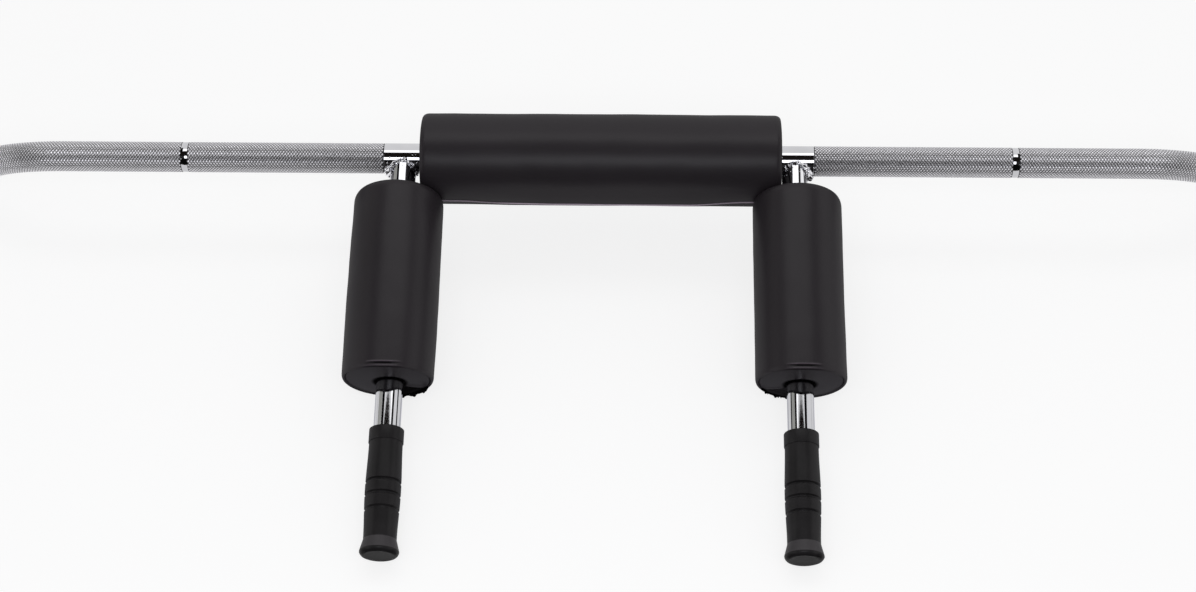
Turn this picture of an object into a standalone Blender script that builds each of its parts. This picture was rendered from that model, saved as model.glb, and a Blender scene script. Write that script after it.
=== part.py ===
"""Safety squat bar: a chromed, cambered bar with two welded arms, wrap-on pads and spinning sleeves.

Metres, +Z up. The bar lies at rest on a floor at Z = 0, on its two sleeve flanges and its two hand
grips, with the middle of its footprint at the origin. +X runs along the shaft and the arms point to -Y.

Every piece is drawn in the bar's own frame and carried by the empty bar_frame. There the shaft's
middle is the origin, +X is the shaft's axis, -Y is the way the arms point, and the ends of the shaft
drop towards -Z. The empty then tips the whole bar forward until the grips touch the floor.
"""

import math
from dataclasses import dataclass

import bmesh
import bpy
from mathutils import Vector

# Clearances
FIT_GAP = 0.0003
TUBE_HOLE_CLEARANCE = 0.0015
PAD_CLEARANCE = 0.0012

# Shaft
SHAFT_DIAMETER = 0.030
STRAIGHT_HALF_LENGTH = 0.525
BEND_RADIUS = 0.105
BEND_ANGLE = math.radians(45)
BEND_LINK_LENGTH = 0.025
STUB_LENGTH = 0.004
CAMBER_ANGLE = math.radians(110)
RING_MARK_SPACING = 0.810
RING_MARK_WIDTH = 0.006
RING_MARK_DEPTH = 0.0003
STEP_LENGTH = 0.0002
SHAFT_BEVEL_RESOLUTION = 10
BEND_SEGMENTS = 6

# Sleeve, its bushings and what holds it on the shaft
SLEEVE_LENGTH = 0.390
SLEEVE_DIAMETER = 0.050
SLEEVE_BORE = 0.036
FLANGE_DIAMETER = 0.078
FLANGE_WIDTH = 0.020
SLEEVE_EDGE = 0.0015
END_RECESS_DIAMETER = 0.042
END_RECESS_DEPTH = 0.024
JOURNAL_DIAMETER = 0.028
JOURNAL_CHAMFER = 0.001
STOP_RING_DIAMETER = 0.045
STOP_RING_WIDTH = 0.012
BUSHING_LENGTH = 0.030
BUSHING_FLANGE_WIDTH = 0.003
INNER_BUSHING_FLANGE_DIAMETER = 0.044
END_WASHER_DIAMETER = 0.038
END_WASHER_THICKNESS = 0.004
BOLT_DIAMETER = 0.012
BOLT_HEAD_ACROSS_FLATS = 0.019
BOLT_HEAD_HEIGHT = 0.0075
BOLT_REACH = 0.025
SLEEVE_SEGMENTS = 36
RING_SEGMENTS = 32
BOLT_SEGMENTS = 16

# Arms
ARM_SPACING = 0.382
ARM_LENGTH = 0.410
ARM_TUBE_DIAMETER = 0.025
ARM_TUBE_WALL = 0.002
TUBE_SEGMENTS = 24
BEAD_SIZE = 0.0032
BEAD_OFFSET = 0.0007
BEAD_RIPPLE = 0.14
BEAD_RIPPLE_COUNT = 16
BEAD_POINTS_PER_RIPPLE = 3

# Hand grips, with distances taken from the open mouth
GRIP_LENGTH = 0.122
GRIP_END_WALL = 0.006
GRIP_COLLAR_DIAMETER = 0.0323
GRIP_COLLAR_LENGTH = 0.013
GRIP_MOUTH_EDGE = 0.001
GRIP_NECK_DIAMETER = 0.0310
GRIP_SWELL_DIAMETER = 0.0330
GRIP_SWELL_AT = 0.060
GRIP_WAIST_DIAMETER = 0.0306
GRIP_WAIST_AT = 0.1035
GRIP_FLARE_DIAMETER = 0.0364
GRIP_FLARE_AT = 0.1180
GRIP_GROOVES_AT = (0.0526, 0.0653, 0.0794)
GRIP_GROOVE_WIDTH = 0.0028
GRIP_GROOVE_DEPTH = 0.0010
GRIP_DISH = 0.0010
GRIP_SEGMENTS = 24

# Pads: foam sleeves in wrap-on vinyl covers
COVER_THICKNESS = 0.0012
STRIP_THICKNESS = 0.0008
STRIP_WIDTH = 0.020
STRIP_MARGIN = 0.006
STRIP_END_MARGIN = 0.018
SLIT_WIDTH = 0.0010
RAMP_WIDTH = 0.030
CORNER_DEPTH = 0.005
CORNER_REACH = 0.008
CORNER_ANGLES = (math.radians(90), math.radians(50))
SEAM_INSET = 0.006
SEAM_DEPTH = 0.0010
DISC_CROWN = 0.0006
DISC_DIMPLE = 0.0008
PAD_WAIST = 0.0005
NECK_PAD_LENGTH = 0.348
NECK_PAD_DIAMETER = 0.090
NECK_SLIT_ABOVE_ARMS = math.radians(45)
NECK_FLAP_WIDTH = 0.062
NECK_FLAP_RIGHT_CUT = 0.022
NECK_FLAP_LEFT_CUT = 0.014
NECK_FLAP_LIFT = 0.0010
NECK_PAD_STEPS = 28
ARM_PAD_LENGTH = 0.193
ARM_PAD_DIAMETER = 0.087
ARM_SLIT_BELOW_INNER_SIDE = math.radians(20)
ARM_FLAP_WIDTH = 0.040
ARM_FLAP_WAVE = 0.002
ARM_FLAP_LIFT = 0.0008
ARM_FLAP_OVERHANG = 0.006
ARM_FLAP_CRUMPLE = 0.0012
ARM_PAD_STEPS = 24

# Colour, roughness and metallic value of each finish
FINISHES = {
    "polished_chrome": ((0.80, 0.80, 0.82), 0.10, 1.0),
    "knurled_chrome": ((0.55, 0.55, 0.57), 0.35, 1.0),
    "welded_chrome": ((0.70, 0.70, 0.72), 0.22, 1.0),
    "bronze": ((0.58, 0.38, 0.16), 0.35, 1.0),
    "zinc": ((0.62, 0.62, 0.60), 0.30, 1.0),
    "black_rubber": ((0.018, 0.017, 0.018), 0.75, 0.0),
    "black_vinyl": ((0.022, 0.021, 0.023), 0.45, 0.0),
    "black_tape": ((0.012, 0.012, 0.012), 0.95, 0.0),
    "grey_foam": ((0.12, 0.12, 0.13), 0.95, 0.0),
}

SIDES = {"left": -1, "right": 1}


def sleeve_drop():
    """How far the shaft's ends lie below its middle, square to the shaft."""
    arcs = 2 * BEND_RADIUS * (1 - math.cos(BEND_ANGLE))
    return arcs + BEND_LINK_LENGTH * math.sin(BEND_ANGLE)


def bend_end():
    """Distance from the shaft's middle to where the second bend ends, along the shaft."""
    run = 2 * BEND_RADIUS * math.sin(BEND_ANGLE) + BEND_LINK_LENGTH * math.cos(BEND_ANGLE)
    return STRAIGHT_HALF_LENGTH + run


def camber_offset(drop):
    """Point in the bar's frame that lies this far down the camber from the shaft's axis."""
    return Vector((0, -drop * math.cos(CAMBER_ANGLE), -drop * math.sin(CAMBER_ANGLE)))


def shoulder_distance():
    """Distance along X of the shoulder where the journal starts, level with the stop ring's outer face."""
    return bend_end() + STUB_LENGTH + STOP_RING_WIDTH


def sleeve_face_distance():
    """Distance along X of the sleeve's inner face, past the inner bushing's flange."""
    return shoulder_distance() + 2 * FIT_GAP + BUSHING_FLANGE_WIDTH


def recess_floor():
    """Distance of the end recess's floor from the sleeve's inner face."""
    return SLEEVE_LENGTH - END_RECESS_DEPTH


def washer_face():
    """Distance of the end washer's inner face from the sleeve's inner face."""
    return recess_floor() + 2 * FIT_GAP + BUSHING_FLANGE_WIDTH


def grip_start():
    """Distance of a grip's mouth from the shaft's axis."""
    return ARM_LENGTH - GRIP_LENGTH


def arm_pad_start():
    """Distance of an arm pad's near end from the shaft's axis, clear of the neck pad."""
    return NECK_PAD_DIAMETER / 2 + PAD_CLEARANCE


def eased(stations, distance):
    """Read a smooth curve through stations, each (distance, value), level at every station."""
    for (start, first), (end, last) in zip(stations, stations[1:]):
        if distance <= end:
            share = (1 - math.cos(math.pi * (distance - start) / (end - start))) / 2
            return first + (last - first) * share
    return stations[-1][1]


def smooth_step(value):
    """Ease from 0 to 1 as value goes from 0 to 1."""
    share = min(max(value, 0.0), 1.0)
    return share * share * (3 - 2 * share)


def grip_barrel():
    """Outer outline of a grip between its collar and its flare, as (radius, distance) points."""
    stations = [
        (GRIP_COLLAR_LENGTH, GRIP_NECK_DIAMETER / 2),
        (GRIP_SWELL_AT, GRIP_SWELL_DIAMETER / 2),
        (GRIP_WAIST_AT, GRIP_WAIST_DIAMETER / 2),
        (GRIP_FLARE_AT, GRIP_FLARE_DIAMETER / 2),
    ]
    first_groove = GRIP_GROOVES_AT[0] - GRIP_GROOVE_WIDTH / 2
    last_groove = GRIP_GROOVES_AT[-1] + GRIP_GROOVE_WIDTH / 2
    lead_in = [GRIP_COLLAR_LENGTH + STEP_LENGTH]
    lead_in += [GRIP_COLLAR_LENGTH + (first_groove - GRIP_COLLAR_LENGTH) * share for share in (0.3, 0.65)]
    points = [(eased(stations, distance), distance) for distance in lead_in]
    for middle in GRIP_GROOVES_AT:
        for offset, depth in ((-0.5, 0), (-0.25, 1), (0.25, 1), (0.5, 0)):
            distance = middle + offset * GRIP_GROOVE_WIDTH
            points.append((eased(stations, distance) - depth * GRIP_GROOVE_DEPTH, distance))
    run_out = [last_groove + (GRIP_WAIST_AT - last_groove) * share for share in (0.5, 1)]
    run_out += [GRIP_WAIST_AT + (GRIP_FLARE_AT - GRIP_WAIST_AT) * share for share in (0.35, 0.6, 0.8, 1)]
    return points + [(eased(stations, distance), distance) for distance in run_out]


def grip_outline():
    """Closed-end rubber grip as (radius, distance) from the closed end's centre to the bore's end."""
    flare = GRIP_FLARE_DIAMETER / 2
    cap = GRIP_LENGTH - GRIP_FLARE_AT
    collar = GRIP_COLLAR_DIAMETER / 2
    bore = ARM_TUBE_DIAMETER / 2 + FIT_GAP
    end = [
        (0, GRIP_LENGTH - GRIP_DISH),
        (flare * 0.55, GRIP_LENGTH - GRIP_DISH * 0.7),
        (flare * 0.80, GRIP_LENGTH),
        (flare * 0.95, GRIP_LENGTH - cap * 0.45),
    ]
    mouth = [
        (collar, GRIP_COLLAR_LENGTH),
        (collar, GRIP_MOUTH_EDGE),
        (collar - GRIP_MOUTH_EDGE, 0),
        (bore, 0),
        (bore, GRIP_LENGTH - GRIP_END_WALL),
        (0, GRIP_LENGTH - GRIP_END_WALL),
    ]
    return end + grip_barrel()[::-1] + mouth


def grip_reach(tilt):
    """How far the grips reach below the shaft's axis when the bar is tipped forward by tilt."""
    start = grip_start()
    return max(
        (start + distance) * math.sin(tilt) + radius * math.cos(tilt)
        for radius, distance in grip_outline()
    )


def sleeve_reach(tilt):
    """How far the sleeve flanges reach below the shaft's axis when the bar is tipped by tilt."""
    return FLANGE_DIAMETER / 2 + sleeve_drop() * math.sin(CAMBER_ANGLE + tilt)


def rest_tilt():
    """Tilt at which flanges and grips both touch the floor, found by halving the interval."""
    low = 0.0
    high = math.pi / 2
    for _ in range(60):
        middle = (low + high) / 2
        if sleeve_reach(middle) > grip_reach(middle):
            low = middle
        else:
            high = middle
    return (low + high) / 2


def footprint_middle(tilt):
    """Middle of the bar's front-to-back extent, as Y from the shaft's axis in the tipped bar."""
    start = grip_start()
    front = max(
        (start + distance) * math.cos(tilt) + radius * math.sin(tilt)
        for radius, distance in grip_outline()
    )
    axis = camber_offset(sleeve_drop())
    back = axis.y * math.cos(tilt) - axis.z * math.sin(tilt) + FLANGE_DIAMETER / 2
    return (back - front) / 2


def make_material(name):
    """One Principled material for a finish in the table above."""
    colour, roughness, metallic = FINISHES[name]
    material = bpy.data.materials.new(name)
    material.use_nodes = True
    shader = material.node_tree.nodes["Principled BSDF"]
    shader.inputs["Base Color"].default_value = (*colour, 1)
    shader.inputs["Roughness"].default_value = roughness
    shader.inputs["Metallic"].default_value = metallic
    material.diffuse_color = (*colour, 1)
    return material


def finish(name):
    """The material of this name, made on first use."""
    return bpy.data.materials.get(name) or make_material(name)


def make_collection(name):
    """New collection in the scene."""
    collection = bpy.data.collections.new(name)
    bpy.context.scene.collection.children.link(collection)
    return collection


def add_object(name, data, parent, material=None, collection="squat_bar"):
    """Link an object to its collection, under its parent and with its material."""
    obj = bpy.data.objects.new(name, data)
    bpy.data.collections[collection].objects.link(obj)
    obj.parent = parent
    if material:
        data.materials.append(finish(material))
    return obj


def add_empty(name, parent, location=(0, 0, 0), rotation=(0, 0, 0)):
    """Empty that carries pieces or marks a joint's axis with its own Z."""
    empty = add_object(name, None, parent)
    empty.empty_display_size = 0.05
    empty.location = location
    empty.rotation_euler = rotation
    return empty


def shade(mesh):
    """Smooth shading with edges over 35 degrees kept sharp."""
    mesh.shade_smooth()
    mesh.set_sharp_from_angle(angle=math.radians(35))


def turned(name, outline, segments, material, parent, closed, height=0.0):
    """Turn an outline of (radius, height) points about the parent's Z axis.

    The outline runs from the top down its outer side. A closed one comes back up the bore.
    """
    count = len(outline)
    edges = [(index, index + 1) for index in range(count - 1)]
    if closed:
        edges.append((count - 1, 0))
    mesh = bpy.data.meshes.new(name)
    mesh.from_pydata([(radius, 0, level) for radius, level in outline], edges, [])
    obj = add_object(name, mesh, parent, material)
    obj.location.z = height
    screw = obj.modifiers.new("turn", "SCREW")
    screw.steps = segments
    screw.render_steps = segments
    screw.use_merge_vertices = True
    screw.merge_threshold = 0.00001
    screw.use_smooth_shade = True
    normals = obj.modifiers.new("flat faces", "WEIGHTED_NORMAL")
    normals.weight = 100
    return obj


def ring_outline(outer, inner, bottom, top):
    """Plain ring as a closed outline, from the top of its outer side."""
    return [(outer, top), (outer, bottom), (inner, bottom), (inner, top)]


def add_cutter(name, radius, length, parent, location=(0, 0, 0), rotation=(0, 0, 0), sides=48):
    """Cylinder that other pieces are cut with, its middle at location."""
    mesh = bpy.data.meshes.new(name)
    shape = bmesh.new()
    bmesh.ops.create_cone(
        shape, cap_ends=True, segments=sides, radius1=radius, radius2=radius, depth=length
    )
    shape.to_mesh(mesh)
    shape.free()
    cutter = add_object(name, mesh, parent, collection="cutters")
    cutter.location = location
    cutter.rotation_euler = rotation
    cutter.hide_render = True
    cutter.display_type = "WIRE"
    return cutter


def boolean(obj, operation, other):
    """Cut obj with other, or join other to it."""
    modifier = obj.modifiers.new(operation.lower(), "BOOLEAN")
    modifier.operation = operation
    modifier.object = other
    modifier.solver = "EXACT"
    return modifier


def curve_to_mesh(curve_object, material):
    """Replace a bevelled curve by the mesh that it makes, with its caps welded."""
    bpy.context.view_layer.update()
    evaluated = curve_object.evaluated_get(bpy.context.evaluated_depsgraph_get())
    mesh = bpy.data.meshes.new_from_object(evaluated)
    shape = bmesh.new()
    shape.from_mesh(mesh)
    bmesh.ops.remove_doubles(shape, verts=shape.verts, dist=0.000001)
    bmesh.ops.recalc_face_normals(shape, faces=shape.faces)
    shape.to_mesh(mesh)
    shape.free()
    name = curve_object.name
    parent = curve_object.parent
    matrix = curve_object.matrix_world.copy()
    bpy.data.objects.remove(curve_object)
    mesh.materials.clear()
    obj = add_object(name, mesh, parent, material)
    obj.matrix_world = matrix
    shade(mesh)
    return obj


def bevelled_path(name, stations, radius, resolution, parent, cyclic=False):
    """Round bar along stations, each (point, share of the radius)."""
    curve = bpy.data.curves.new(name, "CURVE")
    curve.dimensions = "3D"
    curve.bevel_depth = radius
    curve.bevel_resolution = resolution
    curve.use_fill_caps = not cyclic
    spline = curve.splines.new("POLY")
    spline.points.add(len(stations) - 1)
    spline.use_cyclic_u = cyclic
    for point, (place, share) in zip(spline.points, stations):
        point.co = (*place, 1)
        point.radius = share
    return add_object(name, curve, parent)


def shaft_half():
    """Stations of the shaft's right half, from its middle to the journal's end."""
    radius = SHAFT_DIAMETER / 2
    mark = RING_MARK_SPACING / 2
    mark_share = (radius - RING_MARK_DEPTH) / radius
    journal_share = JOURNAL_DIAMETER / SHAFT_DIAMETER
    chamfer_share = (JOURNAL_DIAMETER / 2 - JOURNAL_CHAMFER) / radius
    stations = [(0, 0, 1.0)]
    for edge, inward in ((mark - RING_MARK_WIDTH / 2, 1), (mark + RING_MARK_WIDTH / 2, -1)):
        shares = (1.0, mark_share)[::inward]
        stations.append((edge - STEP_LENGTH / 2, 0, shares[0]))
        stations.append((edge + STEP_LENGTH / 2, 0, shares[1]))
    for index in range(BEND_SEGMENTS + 1):
        angle = BEND_ANGLE * index / BEND_SEGMENTS
        along = STRAIGHT_HALF_LENGTH + BEND_RADIUS * math.sin(angle)
        stations.append((along, BEND_RADIUS * (1 - math.cos(angle)), 1.0))
    for index in range(BEND_SEGMENTS + 1):
        angle = BEND_ANGLE * (1 - index / BEND_SEGMENTS)
        along = bend_end() - BEND_RADIUS * math.sin(angle)
        stations.append((along, sleeve_drop() - BEND_RADIUS * (1 - math.cos(angle)), 1.0))
    drop = sleeve_drop()
    journal_end = sleeve_face_distance() + washer_face() - FIT_GAP
    stations.append((shoulder_distance() - STEP_LENGTH, drop, 1.0))
    stations.append((shoulder_distance(), drop, journal_share))
    stations.append((journal_end - JOURNAL_CHAMFER, drop, journal_share))
    stations.append((journal_end, drop, chamfer_share))
    return stations


def build_shaft(frame, sleeve_axes):
    """Cambered shaft with turned ring marks and journals, and a bolt hole in each end."""
    half = shaft_half()
    right = [(Vector((along, 0, 0)) + camber_offset(drop), share) for along, drop, share in half]
    left = [(Vector((-along, 0, 0)) + camber_offset(drop), share) for along, drop, share in half[:0:-1]]
    path = bevelled_path("shaft", left + right, SHAFT_DIAMETER / 2, SHAFT_BEVEL_RESOLUTION, frame)
    shaft = curve_to_mesh(path, "knurled_chrome")
    journal_end = washer_face() - FIT_GAP
    reach = BOLT_REACH - END_WASHER_THICKNESS + 2 * FIT_GAP
    for side, axis in sleeve_axes.items():
        hole = add_cutter(
            side + "_bolt_hole_cutter",
            BOLT_DIAMETER / 2 + FIT_GAP,
            2 * reach,
            axis,
            location=(0, 0, journal_end),
            sides=BOLT_SEGMENTS,
        )
        boolean(shaft, "DIFFERENCE", hole)
    return shaft


def build_sleeve(side, axis):
    """Loading sleeve with its flange, bored through, with a recess for the end bolt."""
    barrel = SLEEVE_DIAMETER / 2
    flange = FLANGE_DIAMETER / 2
    bore = SLEEVE_BORE / 2
    recess = END_RECESS_DIAMETER / 2
    outline = [
        (recess + SLEEVE_EDGE / 2, SLEEVE_LENGTH),
        (barrel - SLEEVE_EDGE, SLEEVE_LENGTH),
        (barrel, SLEEVE_LENGTH - SLEEVE_EDGE),
        (barrel, FLANGE_WIDTH),
        (flange - SLEEVE_EDGE, FLANGE_WIDTH),
        (flange, FLANGE_WIDTH - SLEEVE_EDGE),
        (flange, SLEEVE_EDGE),
        (flange - SLEEVE_EDGE, 0),
        (bore, 0),
        (bore, recess_floor()),
        (recess, recess_floor()),
        (recess, SLEEVE_LENGTH - SLEEVE_EDGE / 2),
    ]
    return turned(side + "_sleeve", outline, SLEEVE_SEGMENTS, "polished_chrome", axis, closed=True)


def build_bushing(name, axis, flange_radius, floor, inward):
    """Flanged bronze bushing pressed in the sleeve, its flange against floor.

    inward is 1 where the body runs towards the sleeve's inner face and -1 where it runs outward.
    """
    bore = JOURNAL_DIAMETER / 2 + FIT_GAP
    body = SLEEVE_BORE / 2 - FIT_GAP
    seat = floor + inward * FIT_GAP
    far = seat + inward * BUSHING_FLANGE_WIDTH
    near = seat - inward * BUSHING_LENGTH
    outline = [
        (flange_radius, far),
        (flange_radius, seat),
        (body, seat),
        (body, near),
        (bore, near),
        (bore, far),
    ]
    if inward < 0:
        outline = outline[::-1]
    return turned(name, outline, RING_SEGMENTS, "bronze", axis, closed=True)


def build_end_bolt(side, axis):
    """Hexagon bolt through the end washer into the shaft's end."""
    head_floor = washer_face() + END_WASHER_THICKNESS + FIT_GAP
    corner_radius = BOLT_HEAD_ACROSS_FLATS / 2 / math.cos(math.pi / 6)
    mesh = bpy.data.meshes.new(side + "_end_bolt")
    shape = bmesh.new()
    bmesh.ops.create_cone(
        shape,
        cap_ends=True,
        segments=6,
        radius1=corner_radius,
        radius2=corner_radius,
        depth=BOLT_HEAD_HEIGHT,
    )
    shape.to_mesh(mesh)
    shape.free()
    bolt = add_object(side + "_end_bolt", mesh, axis, "zinc")
    bolt.location.z = head_floor + BOLT_HEAD_HEIGHT / 2
    shank_length = BOLT_REACH + BOLT_HEAD_HEIGHT / 2
    shank = add_cutter(
        side + "_bolt_shank",
        BOLT_DIAMETER / 2,
        shank_length,
        axis,
        location=(0, 0, head_floor + BOLT_HEAD_HEIGHT / 2 - shank_length / 2),
        sides=BOLT_SEGMENTS,
    )
    boolean(bolt, "UNION", shank)
    return bolt


def build_sleeve_end(side, axis):
    """The sleeve, its two bushings, and the stop ring, washer and bolt that keep it on."""
    build_sleeve(side, axis)
    build_bushing(side + "_inner_bushing", axis, INNER_BUSHING_FLANGE_DIAMETER / 2, 0.0, -1)
    outer_flange = END_RECESS_DIAMETER / 2 - FIT_GAP
    build_bushing(side + "_outer_bushing", axis, outer_flange, recess_floor(), 1)
    ring_face = -(sleeve_face_distance() - shoulder_distance())
    ring = ring_outline(
        STOP_RING_DIAMETER / 2,
        SHAFT_DIAMETER / 2 + FIT_GAP,
        ring_face - STOP_RING_WIDTH,
        ring_face,
    )
    turned(side + "_stop_ring", ring, RING_SEGMENTS, "polished_chrome", axis, closed=True)
    washer = ring_outline(
        END_WASHER_DIAMETER / 2,
        BOLT_DIAMETER / 2 + FIT_GAP,
        washer_face(),
        washer_face() + END_WASHER_THICKNESS,
    )
    turned(side + "_end_washer", washer, RING_SEGMENTS, "zinc", axis, closed=True)
    build_end_bolt(side, axis)


def build_weld_bead(side, arm, shaft_cutter):
    """Rippled weld bead round the saddle where the arm tube meets the shaft."""
    ring_radius = ARM_TUBE_DIAMETER / 2 + BEAD_OFFSET
    saddle_radius = SHAFT_DIAMETER / 2 + BEAD_OFFSET
    count = BEAD_RIPPLE_COUNT * BEAD_POINTS_PER_RIPPLE
    stations = []
    for index in range(count):
        angle = 2 * math.pi * index / count
        across = ring_radius * math.cos(angle)
        beside = ring_radius * math.sin(angle)
        along = math.sqrt(saddle_radius**2 - beside**2)
        share = 1 - BEAD_RIPPLE * (index % BEAD_POINTS_PER_RIPPLE) / (BEAD_POINTS_PER_RIPPLE - 1)
        stations.append((Vector((across, beside, along)), share))
    path = bevelled_path(side + "_weld_bead", stations, BEAD_SIZE, 2, arm, cyclic=True)
    bead = curve_to_mesh(path, "welded_chrome")
    tube_cutter = add_cutter(
        side + "_tube_cutter", ARM_TUBE_DIAMETER / 2 + FIT_GAP, 4 * SHAFT_DIAMETER, arm
    )
    boolean(bead, "DIFFERENCE", shaft_cutter)
    boolean(bead, "DIFFERENCE", tube_cutter)
    return bead


def build_arm(side, arm):
    """Coped arm tube, its weld bead and its hand grip."""
    outer = ARM_TUBE_DIAMETER / 2
    tube_end = ARM_LENGTH - GRIP_END_WALL - FIT_GAP
    tube_start = math.sqrt((SHAFT_DIAMETER / 2) ** 2 - outer**2) / 2
    outline = ring_outline(outer, outer - ARM_TUBE_WALL, tube_start, tube_end)
    tube = turned(side + "_arm_tube", outline, TUBE_SEGMENTS, "polished_chrome", arm, closed=True)
    shaft_cutter = add_cutter(
        side + "_shaft_cutter",
        SHAFT_DIAMETER / 2 + FIT_GAP,
        3 * ARM_TUBE_DIAMETER,
        arm,
        rotation=(0, math.pi / 2, 0),
    )
    boolean(tube, "DIFFERENCE", shaft_cutter)
    build_weld_bead(side, arm, shaft_cutter)
    turned(
        side + "_hand_grip",
        grip_outline(),
        GRIP_SEGMENTS,
        "black_rubber",
        arm,
        closed=False,
        height=grip_start(),
    )


@dataclass(frozen=True)
class Pad:
    """Wrap-on pad about its parent's Z axis, with its middle at the parent's origin.

    The cover is one sheet. It starts at its tucked edge, runs once round the foam, and goes on as a
    flap over its own start. wrap is the angle along the sheet from the tucked edge.
    """

    name: str
    length: float
    diameter: float
    core: float
    tucked_edge: float
    turn: int
    steps: int
    flap_width: float

    @property
    def half(self):
        """Half of the pad's length."""
        return self.length / 2

    @property
    def side_half(self):
        """Half of the straight side's length, between the rounded corners."""
        return self.half - CORNER_REACH

    @property
    def layer_depth(self):
        """How far the tucked layer lies below the flap's outer face."""
        return COVER_THICKNESS + 2 * STRIP_THICKNESS + 3 * FIT_GAP

    def point(self, wrap, radius, level):
        """Point at this angle along the sheet, in the pad's own frame."""
        angle = self.tucked_edge + self.turn * wrap
        return Vector((radius * math.cos(angle), radius * math.sin(angle), level))

    def side_radius(self, level):
        """Outer radius along the side, drawn in a little between the ends."""
        share = min(abs(level) / self.side_half, 1.0)
        return self.diameter / 2 - PAD_WAIST * (1 - share**2)

    def recess(self, wrap):
        """How far the sheet lies below the pad's round form: all the way under the flap."""
        past_flap = wrap * self.diameter / 2 - self.flap_width
        return self.layer_depth * (1 - smooth_step(past_flap / RAMP_WIDTH))

    def closure_angles(self):
        """Angles of the closure strips' two edges and middle."""
        distances = (STRIP_MARGIN, STRIP_MARGIN + STRIP_WIDTH / 2, STRIP_MARGIN + STRIP_WIDTH)
        return [2 * distance / self.diameter for distance in distances]

    def body_angles(self):
        """Angles at which the cover and the foam are drawn, once round the pad."""
        closure = self.closure_angles()
        last = 2 * math.pi - 2 * SLIT_WIDTH / self.diameter
        rest = self.steps - len(closure)
        stride = (last - closure[-1]) / rest
        return [0.0, *closure, *(closure[-1] + stride * (index + 1) for index in range(rest))]

    def side_levels(self):
        """Levels at which the side is drawn."""
        return [self.side_half * share for share in (-1, -0.5, 0, 0.5, 1)]

    def cover_section(self, wrap):
        """Outer face of the cover at one angle, from one tube hole over the side to the other."""
        sunk = self.recess(wrap)
        rim = self.diameter / 2 - sunk
        hole = self.core / 2 + TUBE_HOLE_CLEARANCE
        seam = rim - SEAM_INSET
        end = [
            (hole, self.half - DISC_DIMPLE),
            ((hole + seam) / 2, self.half + DISC_CROWN),
            (seam, self.half - SEAM_DEPTH),
        ]
        for angle in CORNER_ANGLES:
            radius = rim - CORNER_DEPTH * (1 - math.cos(angle))
            end.append((radius, self.half - CORNER_REACH * (1 - math.sin(angle))))
        near_end = [(radius, -level) for radius, level in end]
        side = [(self.side_radius(level) - sunk, level) for level in self.side_levels()]
        return near_end + side + end[::-1]

    def foam_section(self, wrap):
        """Closed outline of the foam at one angle, outer side first and then the bore."""
        inset = COVER_THICKNESS + FIT_GAP
        sunk = self.recess(wrap) + inset
        rim = self.diameter / 2 - sunk
        top = self.half - SEAM_DEPTH - COVER_THICKNESS - 2 * FIT_GAP
        bore = self.core / 2 + FIT_GAP
        shoulder = top - CORNER_REACH
        end = [(bore, top)]
        for angle in CORNER_ANGLES:
            radius = rim - FIT_GAP - CORNER_DEPTH * (1 - math.cos(angle))
            end.append((radius, top - CORNER_REACH * (1 - math.sin(angle))))
        near_end = [(radius, -level) for radius, level in end]
        levels = [-shoulder, *self.side_levels()[1:-1], shoulder]
        side = [(self.side_radius(level) - sunk, level) for level in levels]
        return near_end + side + end[::-1]


def skin(shape, rows, turn):
    """Quads between neighbouring rows of vertices, facing away from the pad's axis."""
    for first, second in zip(rows, rows[1:]):
        for index in range(len(first) - 1):
            corners = (first[index], second[index], second[index + 1], first[index + 1])
            shape.faces.new(corners[:: turn])


def add_rows(shape, pad, sections):
    """Rows of vertices from (wrap, radius, level) points in the pad's frame."""
    return [[shape.verts.new(pad.point(*place)) for place in section] for section in sections]


def solidified(name, shape, thickness, material, parent):
    """Sheet of this thickness below the drawn faces."""
    mesh = bpy.data.meshes.new(name)
    shape.to_mesh(mesh)
    shape.free()
    shade(mesh)
    obj = add_object(name, mesh, parent, material)
    solid = obj.modifiers.new("thickness", "SOLIDIFY")
    solid.thickness = thickness
    solid.offset = -1
    solid.use_even_offset = True
    return obj


def neck_flap_edge(share):
    """Width of the neck pad's flap at this share of its half length, cut back near both ends."""
    right = NECK_FLAP_RIGHT_CUT * smooth_step((share - 0.05) / 0.7)
    left = NECK_FLAP_LEFT_CUT * smooth_step((-share - 0.45) / 0.5)
    lift = NECK_FLAP_LIFT * (1 - share**2)
    return NECK_FLAP_WIDTH - right - left, lift


def arm_flap_edge(share):
    """Width of an arm pad's flap at this share of its half length, slightly wavy."""
    wave = ARM_FLAP_WAVE * math.sin(2 * math.pi * share)
    lift = ARM_FLAP_LIFT * smooth_step((share + 0.5) / 1.5)
    return ARM_FLAP_WIDTH - wave, lift


def flap_rows(pad, edge):
    """Sections of the flap past the slit: level with the side, then its lifted free edge."""
    full_turn = 2 * math.pi
    levels = pad.side_levels()
    sections = []
    for angle in pad.closure_angles():
        sections.append([(full_turn + angle, pad.side_radius(level), level) for level in levels])
    free_edge = []
    for level in levels:
        width, lift = edge(level / pad.side_half)
        free_edge.append((full_turn + 2 * width / pad.diameter, pad.side_radius(level) + lift, level))
    return sections + [free_edge]


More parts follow.
